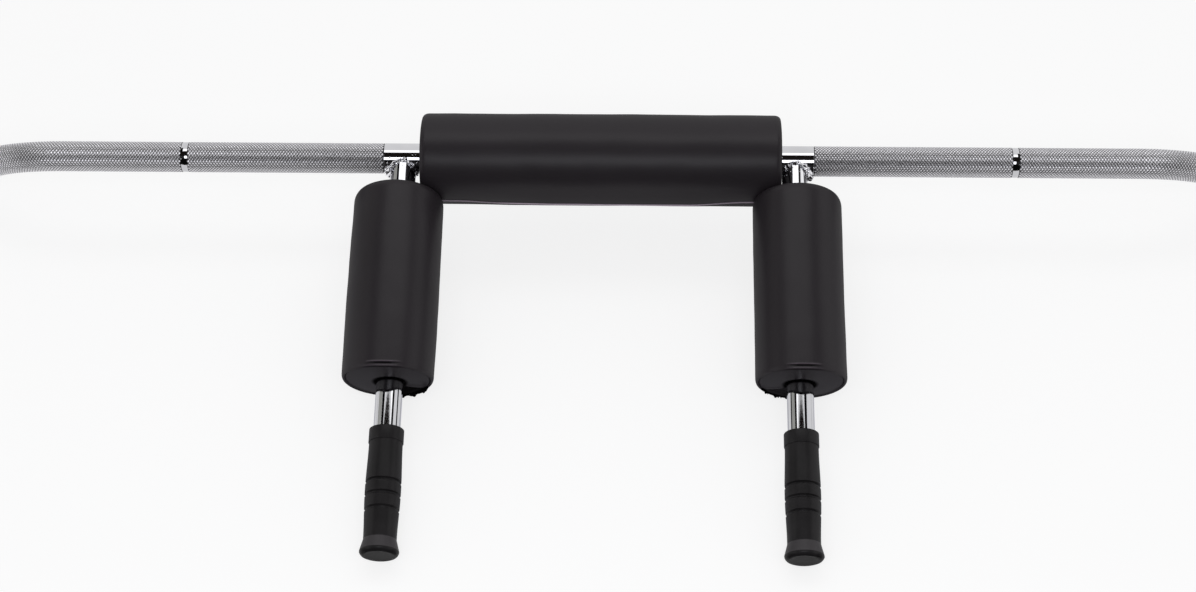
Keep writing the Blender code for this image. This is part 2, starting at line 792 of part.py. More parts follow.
def build_cover(pad, parent, edge, overhang):
    """Vinyl cover in one sheet: two end discs, the side, and the flap over its own start."""
    shape = bmesh.new()
    sections = [
        [(wrap, radius, level) for radius, level in pad.cover_section(wrap)] for wrap in pad.body_angles()
    ]
    rows = add_rows(shape, pad, sections)
    skin(shape, rows, pad.turn)
    corner_points = (len(rows[-1]) - len(pad.side_levels())) // 2
    slit_row = rows[-1][corner_points : corner_points + len(pad.side_levels())]
    flap = [slit_row] + add_rows(shape, pad, flap_rows(pad, edge))
    skin(shape, flap, pad.turn)
    if overhang:
        add_flap_corner(shape, pad, flap[1:], flap_rows(pad, edge), overhang)
    return solidified(pad.name + "_cover", shape, COVER_THICKNESS, "black_vinyl", parent)


def add_flap_corner(shape, pad, flap, sections, overhang):
    """Loose corner of the flap that crumples past the pad's far end."""
    corner = []
    for index, (row, section) in enumerate(zip(flap, sections)):
        wrap, radius, _ = section[-1]
        crumple = ARM_FLAP_CRUMPLE * (1 if index % 2 else -1)
        middle = shape.verts.new(pad.point(wrap, radius, pad.half - CORNER_REACH / 4))
        tip = shape.verts.new(pad.point(wrap, radius + crumple, pad.half + overhang))
        corner.append([row[-1], middle, tip])
    skin(shape, corner, pad.turn)


def build_foam(pad, parent):
    """Foam sleeve, slit along its length so that it opens round the tube."""
    shape = bmesh.new()
    sections = [
        [(wrap, radius, level) for radius, level in pad.foam_section(wrap)] for wrap in pad.body_angles()
    ]
    rows = add_rows(shape, pad, sections)
    skin(shape, [row + row[:1] for row in rows], pad.turn)
    shape.faces.new(rows[0])
    shape.faces.new(rows[-1])
    bmesh.ops.recalc_face_normals(shape, faces=shape.faces)
    mesh = bpy.data.meshes.new(pad.name + "_foam")
    shape.to_mesh(mesh)
    shape.free()
    shade(mesh)
    return add_object(pad.name + "_foam", mesh, parent, "grey_foam")


def build_strip(pad, parent, kind, depth):
    """Closure strip along the pad, its outer face this far below the flap's outer face."""
    shape = bmesh.new()
    end = pad.half - STRIP_END_MARGIN
    levels = [-end, *pad.side_levels()[1:-1], end]
    sections = [
        [(angle, pad.side_radius(level) - depth, level) for level in levels] for angle in pad.closure_angles()
    ]
    skin(shape, add_rows(shape, pad, sections), pad.turn)
    return solidified(f"{pad.name}_{kind}_strip", shape, STRIP_THICKNESS, "black_tape", parent)


def build_pad(pad, parent, edge, overhang=0.0):
    """Foam, cover and the two closure strips between the flap and the tucked layer."""
    build_foam(pad, parent)
    build_cover(pad, parent, edge, overhang)
    hook_depth = COVER_THICKNESS + FIT_GAP
    build_strip(pad, parent, "hook", hook_depth)
    build_strip(pad, parent, "loop", hook_depth + STRIP_THICKNESS + FIT_GAP)


def build_neck_pad(frame):
    """Pad on the shaft between the arms, with its flap ending under its front."""
    carrier = add_empty("neck_pad_axis", frame, rotation=(0, math.pi / 2, 0))
    pad = Pad(
        name="neck_pad",
        length=NECK_PAD_LENGTH,
        diameter=NECK_PAD_DIAMETER,
        core=SHAFT_DIAMETER,
        tucked_edge=-math.pi / 2 - NECK_SLIT_ABOVE_ARMS,
        turn=1,
        steps=NECK_PAD_STEPS,
        flap_width=NECK_FLAP_WIDTH,
    )
    build_pad(pad, carrier, neck_flap_edge)


def build_arm_pad(side, arm):
    """Pad on one arm tube, closed on its lower inner side."""
    sign = SIDES[side]
    middle = arm_pad_start() + ARM_PAD_LENGTH / 2
    carrier = add_empty(side + "_arm_pad_axis", arm, location=(0, 0, middle))
    inner_side = 0.0 if sign < 0 else math.pi
    pad = Pad(
        name=side + "_arm_pad",
        length=ARM_PAD_LENGTH,
        diameter=ARM_PAD_DIAMETER,
        core=ARM_TUBE_DIAMETER,
        tucked_edge=inner_side + sign * ARM_SLIT_BELOW_INNER_SIDE,
        turn=sign,
        steps=ARM_PAD_STEPS,
        flap_width=ARM_FLAP_WIDTH,
    )
    build_pad(pad, carrier, arm_flap_edge, ARM_FLAP_OVERHANG)


def build_bar():
    """The whole bar, tipped to its rest position."""
    tilt = rest_tilt()
    frame = add_empty(
        "bar_frame",
        None,
        location=(0, -footprint_middle(tilt), sleeve_reach(tilt)),
        rotation=(tilt, 0, 0),
    )
    sleeve_axes = {}
    for side, sign in SIDES.items():
        place = camber_offset(sleeve_drop()) + Vector((sign * sleeve_face_distance(), 0, 0))
        sleeve_axes[side] = add_empty(
            side + "_sleeve_axis", frame, location=place, rotation=(0, sign * math.pi / 2, 0)
        )
    build_shaft(frame, sleeve_axes)
    build_neck_pad(frame)
    for side, sign in SIDES.items():
        build_sleeve_end(side, sleeve_axes[side])
        arm = add_empty(
            side + "_arm_axis",
            frame,
            location=(sign * ARM_SPACING / 2, 0, 0),
            rotation=(math.pi / 2, 0, 0),
        )
        build_arm(side, arm)
        build_arm_pad(side, arm)


def main():
    """Empty the scene and build the bar."""
    for obj in list(bpy.data.objects):
        bpy.data.objects.remove(obj, do_unlink=True)
    make_collection("squat_bar")
    make_collection("cutters")
    build_bar()
    bpy.context.view_layer.update()


main()
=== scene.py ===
"""Looks of a safety squat bar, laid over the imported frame.

Metres, +Z up. The bar rests on a floor at Z = 0, tipped forward onto its two sleeve flanges and its two
hand grips. Each class makes one sub-assembly and dresses it in its finishes. The pieces are drawn in the
bar's own frame, where the shaft's middle is the origin, +X is the shaft's axis and the arms point to -Y.
"""

import logging
import math
from collections.abc import Callable, Mapping, Sequence
from dataclasses import dataclass
from enum import Enum

import bmesh
import bpy
import numpy as np
from mathutils import Matrix, Vector, noise
from mathutils.kdtree import KDTree


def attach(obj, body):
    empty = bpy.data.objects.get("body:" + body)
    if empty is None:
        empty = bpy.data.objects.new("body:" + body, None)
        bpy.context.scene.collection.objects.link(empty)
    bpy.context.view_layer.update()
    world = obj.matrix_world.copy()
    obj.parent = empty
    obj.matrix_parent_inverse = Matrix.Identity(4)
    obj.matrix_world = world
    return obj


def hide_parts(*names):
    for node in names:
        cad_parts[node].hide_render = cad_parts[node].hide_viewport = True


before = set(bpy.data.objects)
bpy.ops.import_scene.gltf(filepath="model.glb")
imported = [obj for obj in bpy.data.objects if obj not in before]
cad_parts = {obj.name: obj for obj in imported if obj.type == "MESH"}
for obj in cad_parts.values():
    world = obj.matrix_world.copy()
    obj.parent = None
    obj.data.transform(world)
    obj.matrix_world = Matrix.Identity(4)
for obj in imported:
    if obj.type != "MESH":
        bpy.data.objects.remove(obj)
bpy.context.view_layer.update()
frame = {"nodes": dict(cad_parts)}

log = logging.getLogger("squat_bar")

Outline = Sequence[tuple[float, float]]
Colour = tuple[float, float, float]
Point = tuple[float, float, float]


class Side(Enum):
    """The two ends of the bar, each with its sign along X."""

    LEFT = -1
    RIGHT = 1

    @property
    def word(self) -> str:
        """The side's name in piece names."""
        return self.name.lower()


class Body(Enum):
    """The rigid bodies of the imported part."""

    BAR = "bar"
    LEFT_SLEEVE = "left_sleeve_body"
    RIGHT_SLEEVE = "right_sleeve_body"


class Slot(Enum):
    """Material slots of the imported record."""

    POLISHED_CHROME = "polished_chrome"
    KNURLED_CHROME = "knurled_chrome"
    WELDED_CHROME = "welded_chrome"
    BRONZE = "bronze"
    ZINC = "zinc"
    RUBBER = "black_rubber"
    VINYL = "black_vinyl"
    TAPE = "black_tape"
    FOAM = "grey_foam"


class Socket:
    """Output of a node, with arithmetic that adds Math nodes to its tree."""

    def __init__(self, tree: "NodeTree", output: bpy.types.NodeSocket) -> None:
        """Keep the tree and the output that this stands for."""
        self.tree = tree
        self.output = output

    def __add__(self, other: "Socket | float") -> "Socket":
        """Sum of the two values."""
        return self.tree.math("ADD", self, other)

    def __radd__(self, other: float) -> "Socket":
        """Sum with a plain number on the left."""
        return self.tree.math("ADD", other, self)

    def __sub__(self, other: "Socket | float") -> "Socket":
        """Difference of the two values."""
        return self.tree.math("SUBTRACT", self, other)

    def __rsub__(self, other: float) -> "Socket":
        """Difference from a plain number on the left."""
        return self.tree.math("SUBTRACT", other, self)

    def __mul__(self, other: "Socket | float") -> "Socket":
        """Product of the two values."""
        return self.tree.math("MULTIPLY", self, other)

    def __rmul__(self, other: float) -> "Socket":
        """Product with a plain number on the left."""
        return self.tree.math("MULTIPLY", other, self)

    def __truediv__(self, other: "Socket | float") -> "Socket":
        """Quotient of the two values."""
        return self.tree.math("DIVIDE", self, other)

    def __mod__(self, other: float) -> "Socket":
        """Remainder, always from 0 up to other."""
        return self.tree.math("FLOORED_MODULO", self, other)

    def floor(self) -> "Socket":
        """Largest whole number that isn't above the value."""
        return self.tree.math("FLOOR", self)

    def largest(self, other: "Socket | float") -> "Socket":
        """The larger of the two values."""
        return self.tree.math("MAXIMUM", self, other)

    def smallest(self, other: "Socket | float") -> "Socket":
        """The smaller of the two values."""
        return self.tree.math("MINIMUM", self, other)


Feed = Socket | float | int | bool | str | Sequence[float] | bpy.types.ID
Feeds = Mapping[str | int, Feed] | None
Settings = Mapping[str, object] | None


class NodeTree:
    """Wrapper of a node tree with one method that makes any node."""

    def __init__(self, tree: bpy.types.NodeTree) -> None:
        """Keep the tree that nodes are added to."""
        self.tree = tree

    def node(self, kind: str, settings: Settings = None, sockets: Feeds = None) -> bpy.types.Node:
        """Make a node, set it up and feed it.

        Args:
            kind: The node's type.
            settings: Its own properties, which are set first. "stops" fills a colour ramp.
            sockets: Value or link of each named or numbered input.

        Returns:
            The new node.
        """
        made = self.tree.nodes.new(kind)
        for key, value in (settings or {}).items():
            if key == "stops":
                self._fill_ramp(made, value)
            else:
                setattr(made, key, value)
        for key, value in (sockets or {}).items():
            self.feed(self._input(made, key), value)
        return made

    def value(
        self, kind: str, settings: Settings = None, sockets: Feeds = None, output: str | int = 0
    ) -> Socket:
        """Make a node as node() does and return one of its outputs."""
        return Socket(self, self.node(kind, settings, sockets).outputs[output])

    def feed(self, target: bpy.types.NodeSocket, value: Feed) -> None:
        """Link a socket to an input, or set the input's own value."""
        if isinstance(value, Socket):
            self.tree.links.new(value.output, target)
        else:
            target.default_value = value

    def math(self, operation: str, first: Socket | float, second: Socket | float = 0.0) -> Socket:
        """Result of one Math node."""
        return self.value("ShaderNodeMath", {"operation": operation}, {0: first, 1: second})

    def noise(self, vector: Socket, scale: float, detail: float = 2.0, roughness: float = 0.5) -> Socket:
        """Noise of this many features per metre, from 0 to 1."""
        sockets = {"Vector": vector, "Scale": scale, "Detail": detail, "Roughness": roughness}
        return self.value("ShaderNodeTexNoise", None, sockets)

    @staticmethod
    def _input(node: bpy.types.Node, key: str | int) -> bpy.types.NodeSocket:
        """The input of this number, or the first one in use of this name."""
        if isinstance(key, int):
            return node.inputs[key]
        return next(socket for socket in node.inputs if socket.name == key and socket.enabled)

    @staticmethod
    def _fill_ramp(node: bpy.types.Node, stops: Sequence[tuple[float, float]]) -> None:
        """Give a colour ramp its stops, each (place, grey value)."""
        elements = node.color_ramp.elements
        while len(elements) < len(stops):
            elements.new(1.0)
        for element, (place, grey) in zip(elements, stops):
            element.position = place
            element.color = (grey, grey, grey, 1)


class ShaderTree(NodeTree):
    """Node tree of a material, with the few steps that every finish takes."""

    def place(self) -> Socket:
        """The point's place in its object, in metres."""
        return self.value("ShaderNodeTexCoord", output="Object")

    def attribute(self, name: str) -> Socket:
        """Value of one of the piece's own attributes."""
        return self.value("ShaderNodeAttribute", {"attribute_name": name}, output="Fac")

    def blend(self, share: Socket, first: Socket | Colour, second: Colour) -> Socket:
        """Mix a colour, plain or varying, with a plain one by share."""
        start = first if isinstance(first, Socket) else (*first, 1)
        sockets = {0: share, 6: start, 7: (*second, 1)}
        return self.value("ShaderNodeMix", {"data_type": "RGBA"}, sockets, output=2)

    def contrast(self, value: Socket, low: float, high: float) -> Socket:
        """Stretch the range from low to high over 0 to 1."""
        return self.value("ShaderNodeValToRGB", {"stops": ((low, 0.0), (high, 1.0))}, {"Fac": value})

    def cells(self, vector: Socket, scale: float) -> Socket:
        """Distance from the middle of the nearest cell, as in leather grain or foam."""
        return self.value("ShaderNodeTexVoronoi", None, {"Vector": vector, "Scale": scale})

    def bump(self, height: Socket, distance: float, strength: float = 1.0) -> Socket:
        """Normal bent by a height field of this depth in metres."""
        sockets = {"Height": height, "Distance": distance, "Strength": strength}
        return self.value("ShaderNodeBump", None, sockets)


@dataclass(frozen=True)
class Finish:
    """What every finish has. Each kind adds its own colour variation, roughness and relief.

    In each kind, a scale is in features per metre, a depth is a bump's depth in metres, and a shade is a
    share of the finish's own colour.
    """

    name: str
    slot: Slot
    colour: Colour
    roughness: float
    metallic: float = 0.0
    specular: float = 0.5
    coat: float = 0.0
    coat_roughness: float = 0.3
    coat_ior: float = 1.5

    def material(self) -> bpy.types.Material:
        """The finish as a material, made on first use."""
        return bpy.data.materials.get(self.name) or self._made()

    def _made(self) -> bpy.types.Material:
        """Build the material and let the finish dress it."""
        material = bpy.data.materials.new(self.name)
        material.use_nodes = True
        shader = material.node_tree.nodes["Principled BSDF"]
        shader.inputs["Metallic"].default_value = self.metallic
        shader.inputs["Specular IOR Level"].default_value = self.specular
        shader.inputs["Coat Roughness"].default_value = self.coat_roughness
        shader.inputs["Coat IOR"].default_value = self.coat_ior
        tree = ShaderTree(material.node_tree)
        colour, roughness, normal = self.layers(tree)
        tree.feed(shader.inputs["Base Color"], colour)
        tree.feed(shader.inputs["Roughness"], roughness)
        tree.feed(shader.inputs["Normal"], normal)
        tree.feed(shader.inputs["Coat Weight"], self.coat_layer(tree))
        material.diffuse_color = (*self.colour, 1)
        return material

    def coat_layer(self, tree: ShaderTree) -> Socket | float:
        """Weight of the clear coat."""
        return self.coat

    def layers(self, tree: ShaderTree) -> tuple[Socket, Socket, Socket]:
        """Colour, roughness and normal of the finish."""
        raise NotImplementedError

    def shaded(self, share: float) -> Colour:
        """The finish's colour times share."""
        return tuple(channel * share for channel in self.colour)


@dataclass(frozen=True)
class Chrome(Finish):
    """Polished chrome plate with faint smudges and the slight ripple of a buffed tube."""

    smudge_scale: float = 38
    speck_scale: float = 900
    ripple_scale: float = 160
    ripple_depth: float = 0.000008
    dull_shade: float = 0.82
    dull_roughness: float = 0.05

    def layers(self, tree: ShaderTree) -> tuple[Socket, Socket, Socket]:
        """Colour, roughness and normal of the plate."""
        place = tree.place()
        smudges = tree.contrast(tree.noise(place, self.smudge_scale, 4), 0.35, 0.75)
        specks = tree.contrast(tree.noise(place, self.speck_scale), 0.55, 0.8)
        ripple = tree.noise(place, self.ripple_scale, 3)
        colour = tree.blend(smudges * 0.5 + specks * 0.3, self.colour, self.shaded(self.dull_shade))
        roughness = self.roughness + self.dull_roughness * smudges + self.dull_roughness * specks
        return colour, roughness, tree.bump(ripple, self.ripple_depth)


@dataclass(frozen=True)
class KnurledChrome(Finish):
    """Chrome over cut diamonds, with painted shade down in the grooves and painted glints over the plate.
    """

    wear_scale: float = 60
    painted_glint_scale: float = 520
    grain_scale: float = 2400
    grain_depth: float = 0.00002
    # Share of the chrome's colour left in the grooves, where shade is painted.
    painted_groove_shade: float = 0.06

    def layers(self, tree: ShaderTree) -> tuple[Socket, Socket, Socket]:
        """Colour, roughness and normal of the plate."""
        place = tree.place()
        crest = tree.attribute("crest")
        wear = tree.noise(place, self.wear_scale, 4)
        # Painted glints: fine noise that lightens the colour in spots, standing in for the diamonds'
        # sparkle.
        painted_glints = tree.contrast(tree.noise(place, self.painted_glint_scale, 1), 0.36, 0.64)
        # Painted shade: the colour falls towards a few percent of the chrome's down in the grooves, where
        # crest is 0.
        share = (crest * 1.5).smallest(1.0) * (0.8 + 0.2 * painted_glints)
        colour = tree.blend(share, self.shaded(self.painted_groove_shade), self.colour)
        roughness = self.roughness + 0.06 * (1 - crest) + 0.04 * wear
        return colour, roughness, tree.bump(tree.noise(place, self.grain_scale), self.grain_depth)


@dataclass(frozen=True)
class WeldedChrome(Finish):
    """Chrome over raw weld metal, with dark pits."""

    pit_scale: float = 620
    lump_scale: float = 330
    relief_depth: float = 0.0004
    pit_colour: Colour = (0.03, 0.03, 0.03)

    def layers(self, tree: ShaderTree) -> tuple[Socket, Socket, Socket]:
        """Colour, roughness and normal of the plate."""
        place = tree.place()
        pits = tree.contrast(tree.noise(place, self.pit_scale, 3), 0.56, 0.68)
        lumps = tree.noise(place, self.lump_scale)
        colour = tree.blend(pits, self.colour, self.pit_colour)
        roughness = self.roughness + 0.14 * pits
        return colour, roughness, tree.bump(lumps - pits * 0.3, self.relief_depth)


@dataclass(frozen=True)
class TurnedMetal(Finish):
    """Machined metal with fine tool marks and handling stains."""

    mark_scale: float = 900
    mark_depth: float = 0.00002
    stain_scale: float = 90
    stain_shade: float = 0.72

    def layers(self, tree: ShaderTree) -> tuple[Socket, Socket, Socket]:
        """Colour, roughness and normal of the metal."""
        place = tree.place()
        wave = {"Vector": place, "Scale": self.mark_scale, "Distortion": 2}
        marks = tree.value("ShaderNodeTexWave", {"bands_direction": "X"}, wave, "Fac")
        stains = tree.contrast(tree.noise(place, self.stain_scale, 4), 0.35, 0.7)
        colour = tree.blend(stains, self.colour, self.shaded(self.stain_shade))
        return colour, self.roughness + 0.12 * stains, tree.bump(marks, self.mark_depth)


@dataclass(frozen=True)
class Vinyl(Finish):
    """Upholstery vinyl: fine pebble grain, softer wrinkles, painted shade in creases, and pale marks of cut
    edge and painted highlight.
    """

    grain_scale: float = 1300
    wrinkle_scale: float = 420
    cloud_scale: float = 14
    relief_depth: float = 0.00007
    worn_shade: float = 1.25
    # Share of the colour where shade is painted into creases and recesses.
    crease_shade: float = 0.10
    # Pale colour of the hem, partly its pale cut edge and partly painted highlight, and of the painted
    # highlight on fold crests.
    rubbed_shade: float = 48.0

    def layers(self, tree: ShaderTree) -> tuple[Socket, Socket, Socket]:
        """Colour, roughness and normal of the vinyl."""
        place = tree.place()
        grain = tree.cells(place, self.grain_scale)
        wrinkles = tree.noise(place, self.wrinkle_scale, 4, 0.6)
        clouds = tree.noise(place, self.cloud_scale, 3)
        worn = tree.contrast(clouds, 0.3, 0.75)
        plain = tree.blend(worn * 0.7 + grain * 0.3, self.colour, self.shaded(self.worn_shade))
        # Painted shade: the colour drops to a tenth where the pad marks creases, recesses and the strip
        # beside the flap's edge.
        crease = tree.attribute("crease")
        with_painted_shade = tree.blend(crease, plain, self.shaded(self.crease_shade))
        # Painted highlight on fold crests, and the hem's pale cut edge with painted highlight on it.
        colour = tree.blend(tree.attribute("rubbed"), with_painted_shade, self.shaded(self.rubbed_shade))
        roughness = self.roughness + 0.08 * clouds + 0.05 * wrinkles + 0.35 * crease
        return colour, roughness, tree.bump(grain * 0.6 + wrinkles * 0.8, self.relief_depth)

    def coat_layer(self, tree: ShaderTree) -> Socket | float:
        """Weight of the vinyl's sheen, which is lost in the creases and wherever else shade is painted."""
        return self.coat * (1 - tree.attribute("crease"))


@dataclass(frozen=True)
class Rubber(Finish):
    """Moulded rubber with the mould's fine spark-eroded texture, a little bloom and a painted sheen that
    makes the flare paler.
    """

    texture_scale: float = 1500
    texture_depth: float = 0.00008
    bloom_scale: float = 45
    # Lightest colour, reached by the real bloom and by the painted sheen on the flare.
    pale_shade: float = 4.6

    def layers(self, tree: ShaderTree) -> tuple[Socket, Socket, Socket]:
        """Colour, roughness and normal of the rubber."""
        place = tree.place()
        texture = tree.noise(place, self.texture_scale, 3, 0.7)
        bloom = tree.contrast(tree.noise(place, self.bloom_scale, 4), 0.4, 0.8)
        # Real bloom lightens the colour a little. The painted sheen lightens the flare, where the grip
        # marks it, much more.
        pale = bloom * 0.15 + tree.attribute("flare") * 0.85
        colour = tree.blend(pale, self.colour, self.shaded(self.pale_shade))
        roughness = self.roughness + 0.08 * texture + 0.06 * bloom
        return colour, roughness, tree.bump(texture, self.texture_depth)


@dataclass(frozen=True)
class Foam(Finish):
    """Cut edge of closed-cell foam."""

    cell_scale: float = 900
    cell_depth: float = 0.0003
    cell_shade: float = 0.5

    def layers(self, tree: ShaderTree) -> tuple[Socket, Socket, Socket]:
        """Colour, roughness and normal of the foam."""
        cells = tree.cells(tree.place(), self.cell_scale)
        colour = tree.blend(cells, self.shaded(self.cell_shade), self.colour)
        return colour, self.roughness + 0.1 * cells, tree.bump(cells, self.cell_depth)


@dataclass(frozen=True)
class Tape(Finish):
    """Hook or loop tape: a dense pile of fine tufts."""

    pile_scale: float = 1700
    tuft_scale: float = 500
    pile_depth: float = 0.0004
    dark_shade: float = 0.6
    pale_shade: float = 2.2

    def layers(self, tree: ShaderTree) -> tuple[Socket, Socket, Socket]:
        """Colour, roughness and normal of the tape."""
        place = tree.place()
        pile = tree.cells(place, self.pile_scale)
        tufts = tree.noise(place, self.tuft_scale, 3)
        share = pile * 0.6 + tufts * 0.4
        colour = tree.blend(share, self.shaded(self.dark_shade), self.shaded(self.pale_shade))
        return colour, self.roughness - 0.1 * tufts, tree.bump(pile + tufts, self.pile_depth)


POLISHED_CHROME = Chrome("polished_chrome_plate", Slot.POLISHED_CHROME, (0.60, 0.60, 0.62), 0.035, 1.0)
KNURLED_CHROME = KnurledChrome("knurled_chrome_plate", Slot.KNURLED_CHROME, (0.97, 0.96, 1.0), 0.30, 1.0)
SMOOTH_SHAFT_CHROME = Chrome("smooth_shaft_chrome", Slot.KNURLED_CHROME, (0.60, 0.60, 0.62), 0.035, 1.0)
WELDED_CHROME = WeldedChrome("welded_chrome_plate", Slot.WELDED_CHROME, (0.90, 0.90, 0.93), 0.035, 1.0)
BRONZE = TurnedMetal("sintered_bronze", Slot.BRONZE, (0.50, 0.33, 0.15), 0.34, 1.0)
ZINC = TurnedMetal("zinc_plate", Slot.ZINC, (0.56, 0.56, 0.54), 0.28, 1.0)
RUBBER = Rubber(
    "moulded_rubber",
    Slot.RUBBER,
    (0.0125, 0.0115, 0.0123),
    0.45,
    specular=0.07,
    coat=0.055,
    coat_roughness=0.34,
    coat_ior=2.5,
)
VINYL = Vinyl(
    "pad_vinyl",
    Slot.VINYL,
    (0.0182, 0.0150, 0.0180),
    0.58,
    specular=0.05,
    coat=0.100,
    coat_roughness=0.37,
    coat_ior=2.5,
)
TAPE = Tape("closure_tape", Slot.TAPE, (0.012, 0.012, 0.012), 0.9, specular=0.2)
FOAM = Foam("pad_foam", Slot.FOAM, (0.055, 0.055, 0.06), 0.85, specular=0.2)

# The neck pad lies against the near end of both arm pads: its radius before it is filled, its radius there
# when it is, and how far its end reaches over an arm's axis. The arm pads' ends are distances along an arm.
NECK_RADIUS = 0.0443
NECK_FILLED_RADIUS = 0.0452
NECK_REACH = 0.017
ARM_PAD_START = 0.0456
ARM_PAD_END = 0.2392


def smooth_step(value: np.ndarray | float) -> np.ndarray:
    """Ease from 0 to 1 as value goes from 0 to 1."""
    share = np.clip(value, 0.0, 1.0)
    return share * share * (3 - 2 * share)


def grid_faces(rows: int, columns: int, closed_rows: bool = False, closed_columns: bool = False) -> list:
    """Quads of a grid of points stored row by row.

    Args:
        rows: Number of rows of points.
        columns: Number of points in each row.
        closed_rows: True where the last row joins the first.
        closed_columns: True where each row's last point joins its first.

    Returns:
        Faces as lists of point numbers.
    """
    faces = []
    for row in range(rows if closed_rows else rows - 1):
        below = row * columns
        above = (row + 1) % rows * columns
        for column in range(columns if closed_columns else columns - 1):
            after = (column + 1) % columns
            faces.append((below + column, below + after, above + after, above + column))
    return faces


def moved(points: np.ndarray, matrix: Matrix) -> np.ndarray:
    """Points of any array shape, carried by a matrix."""
    turn = np.array(matrix.to_3x3())
    return points @ turn.T + np.array(matrix.translation)


def around_axis(radius: np.ndarray | float, angle: np.ndarray, level: np.ndarray | float) -> np.ndarray:
    """Points about the Z axis, for arrays of any shapes that fit together."""
    return np.stack(np.broadcast_arrays(radius * np.cos(angle), radius * np.sin(angle), level), axis=-1)


def full_turn(count: int) -> np.ndarray:
    """Evenly spaced angles once round, the first of them 0."""
    return np.linspace(0, 2 * math.pi, count, endpoint=False)


def add_piece(name: str, points: np.ndarray, faces: list, sharp: float = 40.0) -> bpy.types.Object:
    """Link a new mesh object, smooth but for edges sharper than an angle in degrees."""
    mesh = bpy.data.meshes.new(name)
    mesh.from_pydata(points.reshape(-1, 3).tolist(), [], faces)
    mesh.shade_smooth()
    mesh.set_sharp_from_angle(angle=math.radians(sharp))
    piece = bpy.data.objects.new(name, mesh)
    bpy.context.scene.collection.objects.link(piece)
    return piece


def add_board(name: str, width: float, height: float, place: Matrix) -> bpy.types.Object:
    """Link a flat rectangle that lies across its frame's Z axis."""
    signs = np.array([(-1, -1, 0), (1, -1, 0), (1, 1, 0), (-1, 1, 0)])
    return add_piece(name, moved(signs * (width / 2, height / 2, 0), place), [(0, 1, 2, 3)])


def add_line(name: str, points: np.ndarray, closed: bool) -> bpy.types.Object:
    """Link a new mesh object that is only a line through the points."""
    count = len(points)
    spans = count if closed else count - 1
    mesh = bpy.data.meshes.new(name)
    mesh.from_pydata(points.tolist(), [(index, (index + 1) % count) for index in range(spans)], [])
    line = bpy.data.objects.new(name, mesh)
    bpy.context.scene.collection.objects.link(line)
    return line


def thicken(sheet: bpy.types.Object, thickness: float) -> None:
    """Give a sheet its thickness on its inner side."""
    solid = sheet.modifiers.new("thickness", "SOLIDIFY")
    solid.thickness = thickness
    solid.offset = -1


def clean(piece: bpy.types.Object, outward: bool = True) -> bpy.types.Object:
    """Merge a mesh's doubled points, drop its empty faces and turn its faces outward."""
    shape = bmesh.new()
    shape.from_mesh(piece.data)
    bmesh.ops.remove_doubles(shape, verts=shape.verts, dist=0.000002)
    bmesh.ops.dissolve_degenerate(shape, edges=shape.edges, dist=0.000001)
    if outward:
        bmesh.ops.recalc_face_normals(shape, faces=shape.faces)
    shape.to_mesh(piece.data)
    shape.free()
    return piece


def rounded(outline: Outline, radius: float, steps: int = 3, closed: bool = True) -> Outline:
    """Outline with its corners turned into short arcs.

    Args:
        outline: Corners in order, each as (radius, level).
        radius: How far from a corner its arc starts, or less where a side is short.
        steps: Number of spans in each arc.
        closed: True where the last corner joins the first. Open ends stay as they are.

    Returns:
        The rounded outline.
    """
    corners = [np.array(corner) for corner in outline]
    count = len(corners)
    points = []
    for index, corner in enumerate(corners):
        if not closed and index in (0, count - 1):
            points.append(corner)
            continue
        before = corners[index - 1] - corner
        after = corners[(index + 1) % count] - corner
        reach = min(radius, 0.45 * float(np.hypot(*before)), 0.45 * float(np.hypot(*after)))
        start = corner + before / np.hypot(*before) * reach
        end = corner + after / np.hypot(*after) * reach
        for share in np.linspace(0, 1, steps + 1):
            points.append(start * (1 - share) ** 2 + 2 * corner * share * (1 - share) + end * share**2)
    return [(float(across), float(level)) for across, level in points]


def lathed(name: str, outline: Outline, segments: int, place: Matrix, closed: bool) -> bpy.types.Object:
    """Turn an outline of (radius, height) points about an axis.

    Args:
        name: The piece's name.
        outline: Points in order, from pole to pole where it isn't closed.
        segments: Number of spans round the axis.
        place: Frame whose Z is the axis.
        closed: True where the last point joins the first.

    Returns:
        The turned piece.
    """
    section = np.array(outline)
    points = around_axis(section[:, :1], full_turn(segments), section[:, 1:])
    faces = grid_faces(len(outline), segments, closed_rows=closed, closed_columns=True)
    return clean(add_piece(name, moved(points, place), faces))


def ride_and_dress(piece: bpy.types.Object, body: Body, finish: Finish, *nodes: str) -> bpy.types.Object:
    """Give a piece its body and its finish, and hide the CAD nodes that it stands for."""
    piece.data.materials.clear()
    piece.data.materials.append(finish.material())
    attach(piece, body.value)
    if nodes:
        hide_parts(*nodes)
    log.info("%s: %d faces on %s", piece.name, len(piece.data.polygons), body.value)
    return piece


def dress_node(name: str, finish: Finish) -> None:
    """Give a CAD node that stays in view its finish."""
    node = frame["nodes"][name]
    for slot in node.material_slots:
        slot.material = finish.material()
    log.info("%s keeps its CAD shape", name)


